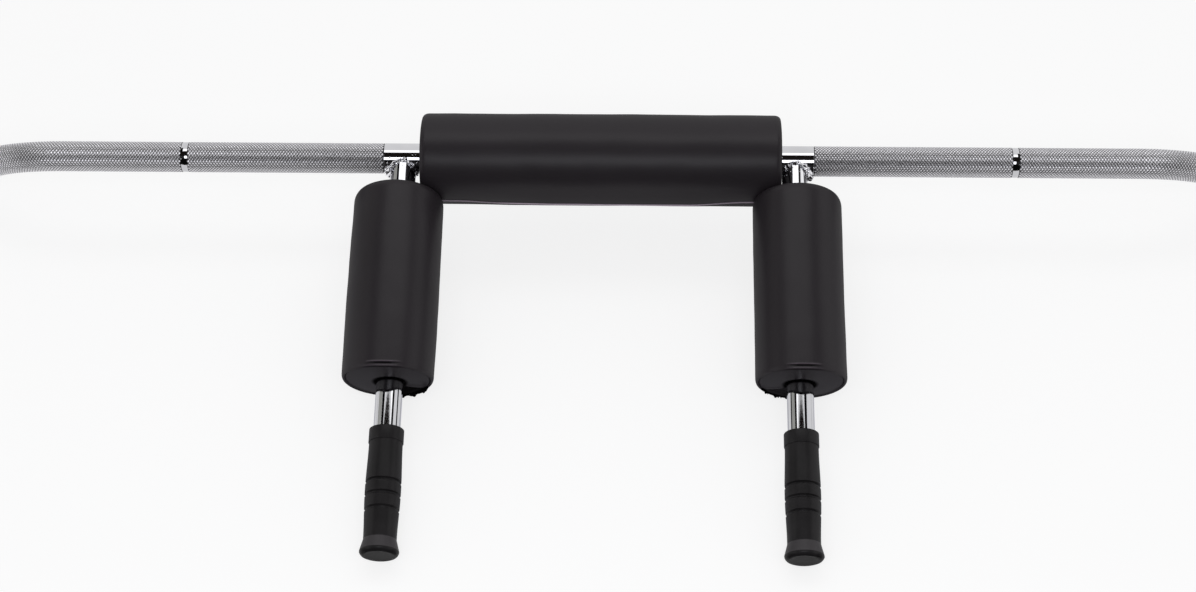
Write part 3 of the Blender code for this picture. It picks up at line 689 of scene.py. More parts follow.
@dataclass(frozen=True)
class BarPlace:
    """Where the bar rests, and the frames of its sub-assemblies."""

    depth: float = 0.160920334
    height: float = 0.105770355
    tilt: float = 0.218490514
    arm_spacing: float = 0.382
    sleeve_face: float = 0.710770094
    sleeve_drop: float = 0.079185245
    camber: float = math.radians(110)

    def bar(self) -> Matrix:
        """Frame of the bar: X along the shaft, -Y along the arms."""
        return Matrix.Translation((0, self.depth, self.height)) @ Matrix.Rotation(self.tilt, 4, "X")

    def camber_way(self) -> Vector:
        """Direction in the bar's frame in which the shaft's ends drop."""
        return Vector((0, -math.cos(self.camber), -math.sin(self.camber)))

    def arm(self, side: Side) -> Matrix:
        """Frame of an arm: Z along the arm, X along the shaft."""
        root = Matrix.Translation((side.value * self.arm_spacing / 2, 0, 0))
        return self.bar() @ root @ Matrix.Rotation(math.pi / 2, 4, "X")

    def neck(self) -> Matrix:
        """Frame of the neck pad: Z along the shaft."""
        return self.bar() @ Matrix.Rotation(math.pi / 2, 4, "Y")

    def sleeve(self, side: Side) -> Matrix:
        """Frame of a sleeve: Z outward along its axis, from its inner face."""
        face = self.camber_way() * self.sleeve_drop + Vector((side.value * self.sleeve_face, 0, 0))
        return self.bar() @ Matrix.Translation(face) @ Matrix.Rotation(side.value * math.pi / 2, 4, "Y")


class GeometryTree(NodeTree):
    """Geometry Nodes tree with named inputs, run once on a base mesh and baked."""

    def __init__(self, name: str) -> None:
        """Make an empty tree with a geometry input and output."""
        super().__init__(bpy.data.node_groups.new(name, "GeometryNodeTree"))
        self.identifiers: dict[str, str] = {}
        self.tree.interface.new_socket("Geometry", in_out="INPUT", socket_type="NodeSocketGeometry")
        self.tree.interface.new_socket("Geometry", in_out="OUTPUT", socket_type="NodeSocketGeometry")
        self.start = self.node("NodeGroupInput")

    def named_inputs(self, kind: str, *names: str) -> list[Socket]:
        """Add named inputs of a socket type such as Float, Int or Material."""
        for name in names:
            item = self.tree.interface.new_socket(name, in_out="INPUT", socket_type="NodeSocket" + kind)
            self.identifiers[name] = item.identifier
        return [Socket(self, self.start.outputs[name]) for name in names]

    def geometry(self) -> Socket:
        """The geometry that the tree starts from."""
        return Socket(self, self.start.outputs["Geometry"])

    def tube(self, around: Socket, radius: Socket) -> Socket:
        """Open tube round the line that the tree starts from, its points stored ring by ring."""
        line = self.value("GeometryNodeMeshToCurve", None, {"Mesh": self.geometry()})
        sizes = {"Resolution": around, "Radius": radius}
        circle = self.value("GeometryNodeCurvePrimitiveCircle", {"mode": "RADIUS"}, sizes)
        sweep = {"Curve": line, "Profile Curve": circle, "Fill Caps": False}
        return self.value("GeometryNodeCurveToMesh", None, sweep)

    def raised(self, geometry: Socket, height: Socket) -> Socket:
        """Geometry whose points are moved out along their normals."""
        scaled = {0: self.value("GeometryNodeInputNormal"), "Scale": height}
        offset = self.value("ShaderNodeVectorMath", {"operation": "SCALE"}, scaled)
        return self.value("GeometryNodeSetPosition", None, {"Geometry": geometry, "Offset": offset})

    def shaded(self, geometry: Socket, smooth: bool) -> Socket:
        """Geometry with smooth or flat faces."""
        sockets = {"Geometry": geometry, "Shade Smooth": smooth}
        return self.value("GeometryNodeSetShadeSmooth", None, sockets)

    def finish(self, geometry: Socket) -> None:
        """End the tree in real geometry, in the material of its last input."""
        (material,) = self.named_inputs("Material", "Material")
        real = self.value("GeometryNodeRealizeInstances", None, {"Geometry": geometry})
        dressed = self.value("GeometryNodeSetMaterial", None, {"Geometry": real, "Material": material})
        self.node("NodeGroupOutput", None, {"Geometry": dressed})

    def bake(self, base: bpy.types.Object, finish: Finish, values: dict[str, float]) -> bpy.types.Object:
        """Run the tree on a base object and keep the plain mesh that comes out.

        Args:
            base: Object whose mesh the tree starts from. It keeps its name.
            finish: Finish of the new mesh.
            values: Value of each other named input.

        Returns:
            The same object with its new mesh and no modifier.
        """
        modifier = base.modifiers.new("shape", "NODES")
        modifier.node_group = self.tree
        for name, value in {**values, "Material": finish.material()}.items():
            modifier[self.identifiers[name]] = value
        base.update_tag()
        bpy.context.view_layer.update()
        evaluated = base.evaluated_get(bpy.context.evaluated_depsgraph_get())
        mesh = bpy.data.meshes.new_from_object(evaluated)
        base.modifiers.remove(modifier)
        base.data = mesh
        mesh.name = base.name
        return base


class KnurlTree(GeometryTree):
    """Cuts diamond knurling round a line: a tube whose points stand up in turn, like a draughtboard."""

    def __init__(self) -> None:
        """Build the tree."""
        super().__init__("diamond_knurl")
        radius, depth = self.named_inputs("Float", "Radius", "Depth")
        around, rings = self.named_inputs("Int", "Around", "Rings")
        index = self.value("GeometryNodeInputIndex")
        ring = (index / around).floor()
        low = (ring + index) % 2.0
        at_end = self.math("LESS_THAN", ring, 0.5) + self.math("GREATER_THAN", ring, rings - 1.5)
        sunk = low.largest(at_end)
        cut = self.raised(self.tube(around, radius), sunk * depth * -1.0)
        # crest is 1 on the diamonds' tips and 0 in the grooves. The knurled finish paints shade into the
        # grooves by it.
        marked = self.value(
            "GeometryNodeStoreNamedAttribute",
            {"data_type": "FLOAT", "domain": "POINT"},
            {"Geometry": cut, "Name": "crest", "Value": 1 - sunk},
        )
        shortest = {"quad_method": "SHORTEST_DIAGONAL"}
        diamonds = self.value("GeometryNodeTriangulate", shortest, {"Mesh": marked})
        self.finish(self.shaded(diamonds, smooth=False))


class BeadTree(GeometryTree):
    """Lays a weld bead along a closed line, in overlapping ripples with an uneven run."""

    def __init__(self) -> None:
        """Build the tree."""
        super().__init__("weld_bead")
        size, ripple, lumps = self.named_inputs("Float", "Size", "Ripple", "Lumps")
        thinnest, inner, inner_cut = self.named_inputs("Float", "Thinnest", "Inner side", "Inner cut")
        per_ripple, around, rings = self.named_inputs("Int", "Points per ripple", "Around", "Rings")
        ring = (self.value("GeometryNodeInputIndex") / around).floor()
        phase = ring % per_ripple / per_ripple
        beside = self.math("COSINE", ring / rings * (2 * math.pi))
        thinned = size * (thinnest - 1.0) * (1 - beside * beside)
        inside = (beside * inner).largest(0.0)
        spot = self.value("GeometryNodeInputPosition")
        unevenness = (self.noise(spot, 240, 1, 0.4) - 0.5) * (1 - 0.6 * inside)
        height = thinned - inner_cut * inside * inside + lumps * unevenness - ripple * phase
        laid = self.raised(self.tube(around, size), height)
        self.finish(self.shaded(laid, smooth=True))


class SpatterTree(GeometryTree):
    """Scatters small beads of weld metal over a strip of surface."""

    def __init__(self) -> None:
        """Build the tree."""
        super().__init__("weld_spatter")
        density, smallest, largest = self.named_inputs("Float", "Density", "Smallest", "Largest")
        (seed,) = self.named_inputs("Int", "Seed")
        strip = {"Mesh": self.geometry(), "Density": density, "Seed": seed}
        points = self.value("GeometryNodeDistributePointsOnFaces", None, strip, "Points")
        droplet = self.value("GeometryNodeMeshIcoSphere", None, {"Radius": 1.0, "Subdivisions": 2})
        sizes = {"Min": smallest, "Max": largest, "Seed": seed}
        size = self.value("FunctionNodeRandomValue", {"data_type": "FLOAT"}, sizes, output=1)
        spread = {"Points": points, "Instance": droplet, "Scale": size}
        self.finish(self.value("GeometryNodeInstanceOnPoints", None, spread))


@dataclass(frozen=True)
class Shaft:
    """Cambered shaft: smooth chrome in the middle, at the ring marks and at the ends, knurled between."""

    place: BarPlace
    radius: float = 0.015
    straight_half: float = 0.525
    bend_radius: float = 0.105
    bend_angle: float = math.radians(45)
    link: float = 0.025
    shoulder: float = 0.707170094
    journal_end: float = 1.080070094
    journal_radius: float = 0.014
    smooth_half: float = 0.2095
    mark_at: float = 0.405
    mark_width: float = 0.006
    mark_depth: float = 0.0003
    knurl_depth: float = 0.00046
    core_gap: float = 0.00004
    step: float = 0.0005
    knurl_spacing: float = 0.00148
    around: int = 46
    bend_lead: float = 0.02
    bend_step: float = 0.0055
    edge: float = 0.0004
    chamfer: float = 0.001
    segments: int = 96

    @property
    def bend_length(self) -> float:
        """Length of one bend along the shaft's axis."""
        return self.bend_radius * self.bend_angle

    @property
    def bends_end(self) -> float:
        """Distance along the axis, from the middle, to where the second bend ends."""
        return self.straight_half + 2 * self.bend_length + self.link

    def station(self, distance: float) -> tuple[float, float, float]:
        """Place on the shaft's axis.

        Args:
            distance: Distance along the axis from the middle, on the right half.

        Returns:
            Distance along X, drop down the camber, and the axis's slope there.
        """
        over = distance - self.straight_half
        rise = self.bend_radius * math.sin(self.bend_angle)
        fall = self.bend_radius * (1 - math.cos(self.bend_angle))
        if over <= 0:
            return distance, 0.0, 0.0
        if over <= self.bend_length:
            slope = over / self.bend_radius
            along = self.straight_half + self.bend_radius * math.sin(slope)
            return along, self.bend_radius * (1 - math.cos(slope)), slope
        over -= self.bend_length
        if over <= self.link:
            along = self.straight_half + rise + over * math.cos(self.bend_angle)
            return along, fall + over * math.sin(self.bend_angle), self.bend_angle
        over -= self.link
        after_link = self.straight_half + rise + self.link * math.cos(self.bend_angle)
        link_fall = fall + self.link * math.sin(self.bend_angle)
        slope = self.bend_angle - min(over / self.bend_radius, self.bend_angle)
        along = after_link + rise - self.bend_radius * math.sin(slope)
        drop = link_fall + fall - self.bend_radius * (1 - math.cos(slope))
        return along + max(over - self.bend_length, 0.0), drop, slope

    def centre(self, side: Side, distance: float) -> Vector:
        """Point on the axis, in the bar's frame."""
        along, drop, _ = self.station(distance)
        return self.place.camber_way() * drop + Vector((side.value * along, 0, 0))

    def knurls(self) -> dict[str, tuple[float, float]]:
        """Start and end of each knurled stretch along one half of the axis."""
        mark_half = self.mark_width / 2
        return {
            "inner": (self.smooth_half, self.mark_at - mark_half),
            "outer": (self.mark_at + mark_half, self.bends_end - self.step),
        }

    def core_half(self) -> list[tuple[float, float]]:
        """Distance and radius of each ring of the core, from the middle to the right end."""
        under = self.radius - self.knurl_depth - self.core_gap
        floor = self.radius - self.mark_depth
        rings = [(0.0, self.radius)]
        rims = ((self.radius, floor), (floor, self.radius))
        for (start, end), (rim, end_rim) in zip(self.knurls().values(), rims):
            rings += [(start - self.step, rim), (start, under)]
            bends = np.arange(max(start + self.bend_lead, self.straight_half), end, self.bend_step)
            rings += [(float(distance), under) for distance in bends]
            rings += [(end, under), (end + self.step, end_rim)]
        stub = self.bends_end + self.shoulder - self.station(self.bends_end)[0]
        journal = stub + self.journal_end - self.shoulder
        end_radius = self.journal_radius
        rings += [(stub - self.edge, self.radius), (stub, self.radius - self.edge), (stub, end_radius)]
        return rings + [(journal - self.chamfer, end_radius), (journal, end_radius - self.chamfer)]

    def build_core(self) -> bpy.types.Object:
        """Smooth body of the shaft, cut down under the knurling."""
        half = self.core_half()
        ends = [(Side.LEFT, *ring) for ring in half[:0:-1]] + [(Side.RIGHT, *ring) for ring in half]
        angles = full_turn(self.segments)
        camber = np.array(self.place.camber_way())
        across = np.cross((1, 0, 0), camber)
        points = np.empty((len(ends), self.segments, 3))
        for row, (side, distance, radius) in enumerate(ends):
            slope = side.value * self.station(distance)[2]
            outward = camber * math.cos(slope) - np.array((math.sin(slope), 0, 0))
            spokes = np.outer(np.cos(angles), outward) + np.outer(np.sin(angles), across)
            points[row] = np.array(self.centre(side, distance)) + radius * spokes
        faces = grid_faces(len(ends), self.segments, closed_columns=True)
        faces.append(list(range(self.segments)))
        faces.append(list(range((len(ends) - 1) * self.segments, len(ends) * self.segments)))
        core = clean(add_piece("shaft_core", moved(points, self.place.bar()), faces, sharp=30))
        return ride_and_dress(core, Body.BAR, SMOOTH_SHAFT_CHROME, "shaft")

    def build_knurl(self, tree: KnurlTree, side: Side, name: str, start: float, end: float) -> None:
        """One knurled stretch.

        Args:
            tree: The knurl's Geometry Nodes.
            side: End of the bar.
            name: Which stretch of that end.
            start: Where it starts along the axis.
            end: Where it ends along the axis.
        """
        rings = round((end - start) / self.knurl_spacing) + 1
        bar = self.place.bar()
        line = [bar @ self.centre(side, float(distance)) for distance in np.linspace(start, end, rings)]
        base = add_line(f"{side.word}_{name}_knurl", np.array(line), closed=False)
        values = {
            "Radius": self.radius,
            "Depth": self.knurl_depth,
            "Around": self.around,
            "Rings": rings,
        }
        knurl = tree.bake(base, KNURLED_CHROME, values)
        ride_and_dress(knurl, Body.BAR, KNURLED_CHROME, "shaft")

    def build(self) -> None:
        """The core and its four knurled stretches."""
        self.build_core()
        tree = KnurlTree()
        for side in Side:
            for name, (start, end) in self.knurls().items():
                self.build_knurl(tree, side, name, start, end)


@dataclass(frozen=True)
class Arm:
    """Arm of one side: a coped chrome tube, the weld at its root and its hand grip."""

    place: BarPlace
    side: Side
    bead_tree: BeadTree
    spatter_tree: SpatterTree
    length: float = 0.410
    radius: float = 0.0125
    wall: float = 0.002
    shaft_radius: float = 0.015
    grip_length: float = 0.122
    grip_end_wall: float = 0.006
    fit_gap: float = 0.0003
    bead_offset: float = 0.0008
    bead_size: float = 0.0043
    bead_thinnest: float = 0.34
    bead_inner_cut: float = 0.0024
    bead_ripple: float = 0.0006
    bead_lumps: float = 0.0085
    bead_ripples: int = 30
    points_per_ripple: int = 8
    bead_around: int = 24
    spatter_density: float = 26000
    spatter_smallest: float = 0.0003
    spatter_largest: float = 0.0009
    spatter_gap: float = 0.0008
    spatter_on_tube: float = 0.005
    spatter_on_shaft: float = 0.003
    spatter_beside: float = 0.0145
    spatter_seed: int = 7
    segments: int = 96
    edge: float = 0.0006
    skirt: float = 0.03

    def cope(self, radius: float, angles: np.ndarray) -> np.ndarray:
        """Distance along the arm at which a tube of this radius meets the shaft."""
        return np.sqrt(self.shaft_radius**2 - (radius * np.sin(angles)) ** 2)

    def build_tube(self) -> None:
        """Tube with its root coped to the shaft."""
        angles = full_turn(self.segments)
        end = self.length - self.grip_end_wall - self.fit_gap
        inner = self.radius - self.wall
        rows = [(self.radius, self.cope(self.radius, angles))]
        rows += [(self.radius, level) for level in np.linspace(self.skirt, end - self.edge, 12)]
        rows += [(self.radius - self.edge, end), (inner, end), (inner, self.cope(inner, angles))]
        points = np.stack([around_axis(radius, angles, level) for radius, level in rows])
        faces = grid_faces(len(rows), self.segments, closed_rows=True, closed_columns=True)
        tube = add_piece(self.side.word + "_arm_tube_skin", moved(points, self.place.arm(self.side)), faces)
        ride_and_dress(clean(tube), Body.BAR, POLISHED_CHROME, self.side.word + "_arm_tube")

    def root_strip(self) -> tuple[np.ndarray, list]:
        """Strips of the tube's and the shaft's surface beside the weld, where spatter lands."""
        count = 48
        angles = np.linspace(0, 2 * math.pi, count)
        start = self.cope(self.radius, angles) + self.bead_size
        rows = [around_axis(self.radius, angles, level) for level in (start, start + self.spatter_on_tube)]
        ring = self.radius + self.bead_size + self.spatter_gap
        for reach in (ring, ring + self.spatter_on_shaft):
            beside = np.clip(reach * np.sin(angles), -self.spatter_beside, self.spatter_beside)
            level = np.sqrt(self.shaft_radius**2 - beside**2)
            rows.append(np.stack((reach * np.cos(angles), beside, level), axis=1))
        faces = grid_faces(2, count)
        faces += [tuple(number + 2 * count for number in face) for face in faces]
        return np.concatenate(rows), faces

    def build_bead(self) -> None:
        """Rippled bead round the root."""
        count = self.bead_ripples * self.points_per_ripple
        angles = full_turn(count)
        ring = self.radius + self.bead_offset
        saddle = self.shaft_radius + self.bead_offset
        line = around_axis(ring, angles, np.sqrt(saddle**2 - (ring * np.sin(angles)) ** 2))
        base = add_line(self.side.word + "_weld_run", moved(line, self.place.arm(self.side)), closed=True)
        values = {
            "Size": self.bead_size,
            "Ripple": self.bead_ripple,
            "Lumps": self.bead_lumps,
            "Points per ripple": self.points_per_ripple,
            "Around": self.bead_around,
            "Rings": count,
            "Thinnest": self.bead_thinnest,
            "Inner side": -float(self.side.value),
            "Inner cut": self.bead_inner_cut,
        }
        bead = clean(self.bead_tree.bake(base, WELDED_CHROME, values))
        ride_and_dress(bead, Body.BAR, WELDED_CHROME, self.side.word + "_weld_bead")

    def build_spatter(self) -> None:
        """Small beads of weld metal beside the run."""
        points, faces = self.root_strip()
        strip = add_piece(self.side.word + "_weld_spatter", moved(points, self.place.arm(self.side)), faces)
        values = {
            "Density": self.spatter_density,
            "Smallest": self.spatter_smallest,
            "Largest": self.spatter_largest,
            "Seed": self.spatter_seed + self.side.value,
        }
        spatter = self.spatter_tree.bake(strip, WELDED_CHROME, values)
        spatter.data.shade_smooth()
        ride_and_dress(spatter, Body.BAR, WELDED_CHROME, self.side.word + "_weld_bead")

    def build(self) -> None:
        """The tube, the weld and the grip."""
        self.build_tube()
        self.build_bead()
        self.build_spatter()
        Grip(self.place, self.side, start=self.length - self.grip_length).build()


@dataclass(frozen=True)
class Grip:
    """Moulded rubber grip, with distances taken from its open mouth."""

    place: BarPlace
    side: Side
    start: float
    length: float = 0.122
    end_wall: float = 0.006
    bore: float = 0.0127
    collar_radius: float = 0.01615
    collar_length: float = 0.013
    stations: Outline = ((0.013, 0.0155), (0.060, 0.0165), (0.1070, 0.0152), (0.118, 0.0181))
    grooves: tuple[float, ...] = (0.0526, 0.0653, 0.0794)
    groove_width: float = 0.0031
    groove_depth: float = 0.0021
    dish: float = 0.0010
    closed_end: Outline = ((0.82, 0.0), (0.90, 0.0006), (0.96, 0.0018), (0.992, 0.0030))
    spacing: float = 0.00045
    seam_height: float = 0.00012
    seam_half_width: float = 0.0007
    edge: float = 0.0004
    segments: int = 128

    def barrel_radius(self, distance: float) -> float:
        """Outer radius between the collar and the conical flare, with its three rounded grooves."""
        radius = self.stations[-1][1]
        for (start, first), (end, last) in zip(self.stations, self.stations[1:]):
            if start <= distance <= end:
                share = (distance - start) / (end - start)
                if end != self.stations[-1][0]:
                    share = (1 - math.cos(math.pi * share)) / 2
                radius = first + (last - first) * share
                break
        for groove in self.grooves:
            away = abs(distance - groove) / (self.groove_width / 2)
            if away < 1:
                radius -= self.groove_depth * (1 - away**4)
        return radius

    def outline(self) -> Outline:
        """Outline from the closed end's middle over the outside and back up the bore."""
        flare_at, flare = self.stations[-1]
        dished = [(0.0, 1.0), (0.45, 0.9), (0.62, 0.5), (0.74, 0.06)]
        end = [(flare * share, self.length - self.dish * depth) for share, depth in dished]
        end += [(flare * share, self.length - back) for share, back in self.closed_end]
        distances = np.arange(flare_at, self.collar_length + 0.0003, -self.spacing)
        barrel = [(self.barrel_radius(float(distance)), float(distance)) for distance in distances]
        neck = self.stations[0][1]
        collar = [
            (neck, self.collar_length + 0.0001),
            (self.collar_radius, self.collar_length),
            (self.collar_radius, 0.0),
            (self.bore, 0.0),
        ]
        bore = [(self.bore, self.length - self.end_wall), (0.0, self.length - self.end_wall)]
        return end + barrel + rounded(collar, self.edge, closed=False) + bore

    def build(self) -> None:
        """Turn the grip and raise the mould's parting lines along its two sides."""
        matrix = self.place.arm(self.side) @ Matrix.Translation((0, 0, self.start))
        grip = lathed(self.side.word + "_grip_skin", self.outline(), self.segments, Matrix(), closed=False)
        # The flare is marked so that the rubber finish paints a paler sheen on it.
        flare = grip.data.attributes.new("flare", "FLOAT", "POINT")
        for vertex in grip.data.vertices:
            radius = math.hypot(vertex.co.x, vertex.co.y)
            outside = radius > self.bore + 0.001
            on_flare = self.stations[-2][0] <= vertex.co.z <= self.stations[-1][0]
            flare.data[vertex.index].value = float(on_flare and outside)
            if outside and vertex.co.z < self.length - 0.002:
                rise = self.seam_height * max(0.0, 1 - abs(vertex.co.y) / self.seam_half_width)
                vertex.co.x *= 1 + rise / radius
                vertex.co.y *= 1 + rise / radius
        grip.data.transform(matrix)
        ride_and_dress(grip, Body.BAR, RUBBER, self.side.word + "_hand_grip")


@dataclass(frozen=True)
class Swelling:
    """How far a pad's cover moved as it was filled, read at any point of it."""

    tree: KDTree
    shifts: np.ndarray
    neighbours: int = 8
    softness: float = 0.002

    def moved(self, points: np.ndarray) -> np.ndarray:
        """Points of any array shape, each shifted as the cover near it was."""
        flat = points.reshape(-1, 3)
        result = flat.copy()
        for index, point in enumerate(flat):
            near = self.tree.find_n(Vector(point), self.neighbours)
            weights = np.array([1 / (distance + self.softness) ** 2 for _, _, distance in near])
            shifts = self.shifts[[number for _, number, _ in near]]
            result[index] += weights @ shifts / weights.sum()
        return result.reshape(points.shape)


@dataclass(frozen=True)
class Stuffing:
    """Cloth simulation that fills a pad's cover and lets it swell between its seams.

    cap is the most that a point moves. The stiff end discs swell by end_share of what the cloth would.
    smoothing is how often the shifts are averaged, which takes the remesh's own pattern out of them.
    """

    voxel: float = 0.005
    pressure: float = 60.0
    slack: float = 0.002
    frames: int = 20
    cap: float = 0.003
    end_share: float = 0.3
    smoothing: int = 4

    def run(self, shell: bpy.types.Object, held: Callable[[Vector], bool]) -> Swelling:
        """Fill a closed shell and measure how its surface moves.

        Args:
            shell: Closed mesh of the cover. It is removed afterwards.
            held: Tells whether a point is sewn down or held by the tube.

        Returns:
            The shift of each point of the shell.
        """
        remesh = shell.modifiers.new("even", "REMESH")
        remesh.mode = "VOXEL"
        remesh.voxel_size = self.voxel
        mesh = self._evaluated(shell)
        shell.modifiers.remove(remesh)
        shell.data = mesh
        rest = np.array([vertex.co for vertex in mesh.vertices])
        group = shell.vertex_groups.new(name="held")
        group.add([vertex.index for vertex in mesh.vertices if held(vertex.co)], 1.0, "REPLACE")
        cloth = shell.modifiers.new("fill", "CLOTH")
        cloth.settings.quality = 6
        cloth.settings.mass = 0.3
        cloth.settings.use_pressure = True
        cloth.settings.uniform_pressure_force = self.pressure
        cloth.settings.shrink_min = -self.slack
        cloth.settings.bending_stiffness = 2.0
        cloth.settings.vertex_group_mass = group.name
        cloth.settings.effector_weights.gravity = 0
        cloth.point_cache.frame_end = self.frames
        scene = bpy.context.scene
        for number in range(1, self.frames + 1):
            scene.frame_set(number)
        filled = np.array([vertex.co for vertex in self._evaluated(shell).vertices])
        scene.frame_set(1)
        bpy.data.objects.remove(shell)
        shifts = filled - rest
        lengths = np.linalg.norm(shifts, axis=1, keepdims=True)
        shifts *= np.minimum(1.0, self.cap / np.maximum(lengths, 1e-9))
        shifts[:, 2] *= self.end_share
        shifts = self._smoothed(shifts, mesh)
        tree = KDTree(len(rest))
        for index, point in enumerate(rest):
            tree.insert(Vector(point), index)
        tree.balance()
        return Swelling(tree, shifts)

    def _smoothed(self, shifts: np.ndarray, mesh: bpy.types.Mesh) -> np.ndarray:
        """Shifts of a mesh's points, each averaged with its neighbours' a few times over."""
        starts, ends = np.array([edge.vertices for edge in mesh.edges]).T
        counts = np.bincount(np.concatenate((starts, ends)), minlength=len(shifts))[:, None] + 1
        for _ in range(self.smoothing):
            sums = shifts.copy()
            np.add.at(sums, starts, shifts[ends])
            np.add.at(sums, ends, shifts[starts])
            shifts = sums / counts
        return shifts

    @staticmethod
    def _evaluated(piece: bpy.types.Object) -> bpy.types.Mesh:
        """Copy of a piece's mesh with its modifiers applied."""
        bpy.context.view_layer.update()
        return bpy.data.meshes.new_from_object(piece.evaluated_get(bpy.context.evaluated_depsgraph_get()))


@dataclass(frozen=True)
class EndShape:
    """How a pad's cover turns from its side onto its end.

    The side bends in by depth over the last reach, and the end disc is sewn on at inset from the side.
    crown is how far the disc stands out at the tube, slant how much sooner the pad ends at its bottom, and
    brow how much further it reaches at its top.
    """

    depth: float
    reach: float
    inset: float
    crown: float
    slant: float = 0.0
    brow: float = 0.0
    groove: float = 0.0011
    seam_depth: float = 0.0010


NECK_END = EndShape(depth=0.0038, reach=0.0060, inset=0.0055, crown=0.0006)
ARM_PAD_NEAR_END = EndShape(depth=0.0034, reach=0.0078, inset=0.0055, crown=0.0006)
ARM_PAD_FAR_END = EndShape(
    depth=0.0020, reach=0.0048, inset=0.0034, crown=0.0018, slant=0.0026, brow=0.0044
)


@dataclass(frozen=True)
class FlapEdge:
    """Free edge of a flap at each share of the pad's half length, from -1 to 1.

    trims are cut-outs of its width, each as (amount, share where it starts, share where it is full). hem is
    the radius to which the edge itself curls away from the pad.
    """

    width: float
    trims: tuple[tuple[float, float, float], ...] = ()
    wave: float = 0.0
    lifts: tuple[tuple[float, float, float], ...] = ()
    base_lift: float = 0.0003
    hem: float = 0.0

    @staticmethod
    def _steps(steps: tuple[tuple[float, float, float], ...], share: np.ndarray) -> np.ndarray:
        """Sum of smooth steps along the pad."""
        total = np.zeros_like(share)
        for amount, start, full in steps:
            total = total + amount * smooth_step((share - start) / (full - start))
        return total

    def width_at(self, share: np.ndarray) -> np.ndarray:
        """Width of the flap."""
        return self.width - self._steps(self.trims, share) + self.wave * np.sin(share * 9.0)

    def lift_at(self, share: np.ndarray) -> np.ndarray:
        """How far the free edge stands off the pad."""
        return self.base_lift + self._steps(self.lifts, share)


@dataclass(frozen=True)
class Fold:
    """Short fold across a pad's side, with a groove beside it.

    back is its distance from the pad's end, and reach the angle to each side at which it runs out.
    """

    back: float
    reach: float
    height: float
    width: float = 0.0006
    sag: float = 0.002
    groove_at: float = 0.0014
    groove_width: float = 0.0007
    groove_share: float = 0.9

    def height_at(self, end: float, angle: np.ndarray, level: np.ndarray) -> np.ndarray:
        """Height at each angle and level of a pad that ends at the level end."""
        away = end - self.back - self.sag * angle**2 - level
        groove = np.exp(-(((away + self.groove_at) / self.groove_width) ** 2))
        crest = np.exp(-((away / self.width) ** 2)) - self.groove_share * groove
        return self.height * np.clip(1 - (angle / self.reach) ** 2, 0, None) * crest


ARM_PAD_FOLDS = (Fold(back=0.0016, reach=0.46, height=0.0006), Fold(back=0.0056, reach=0.40, height=0.0011))


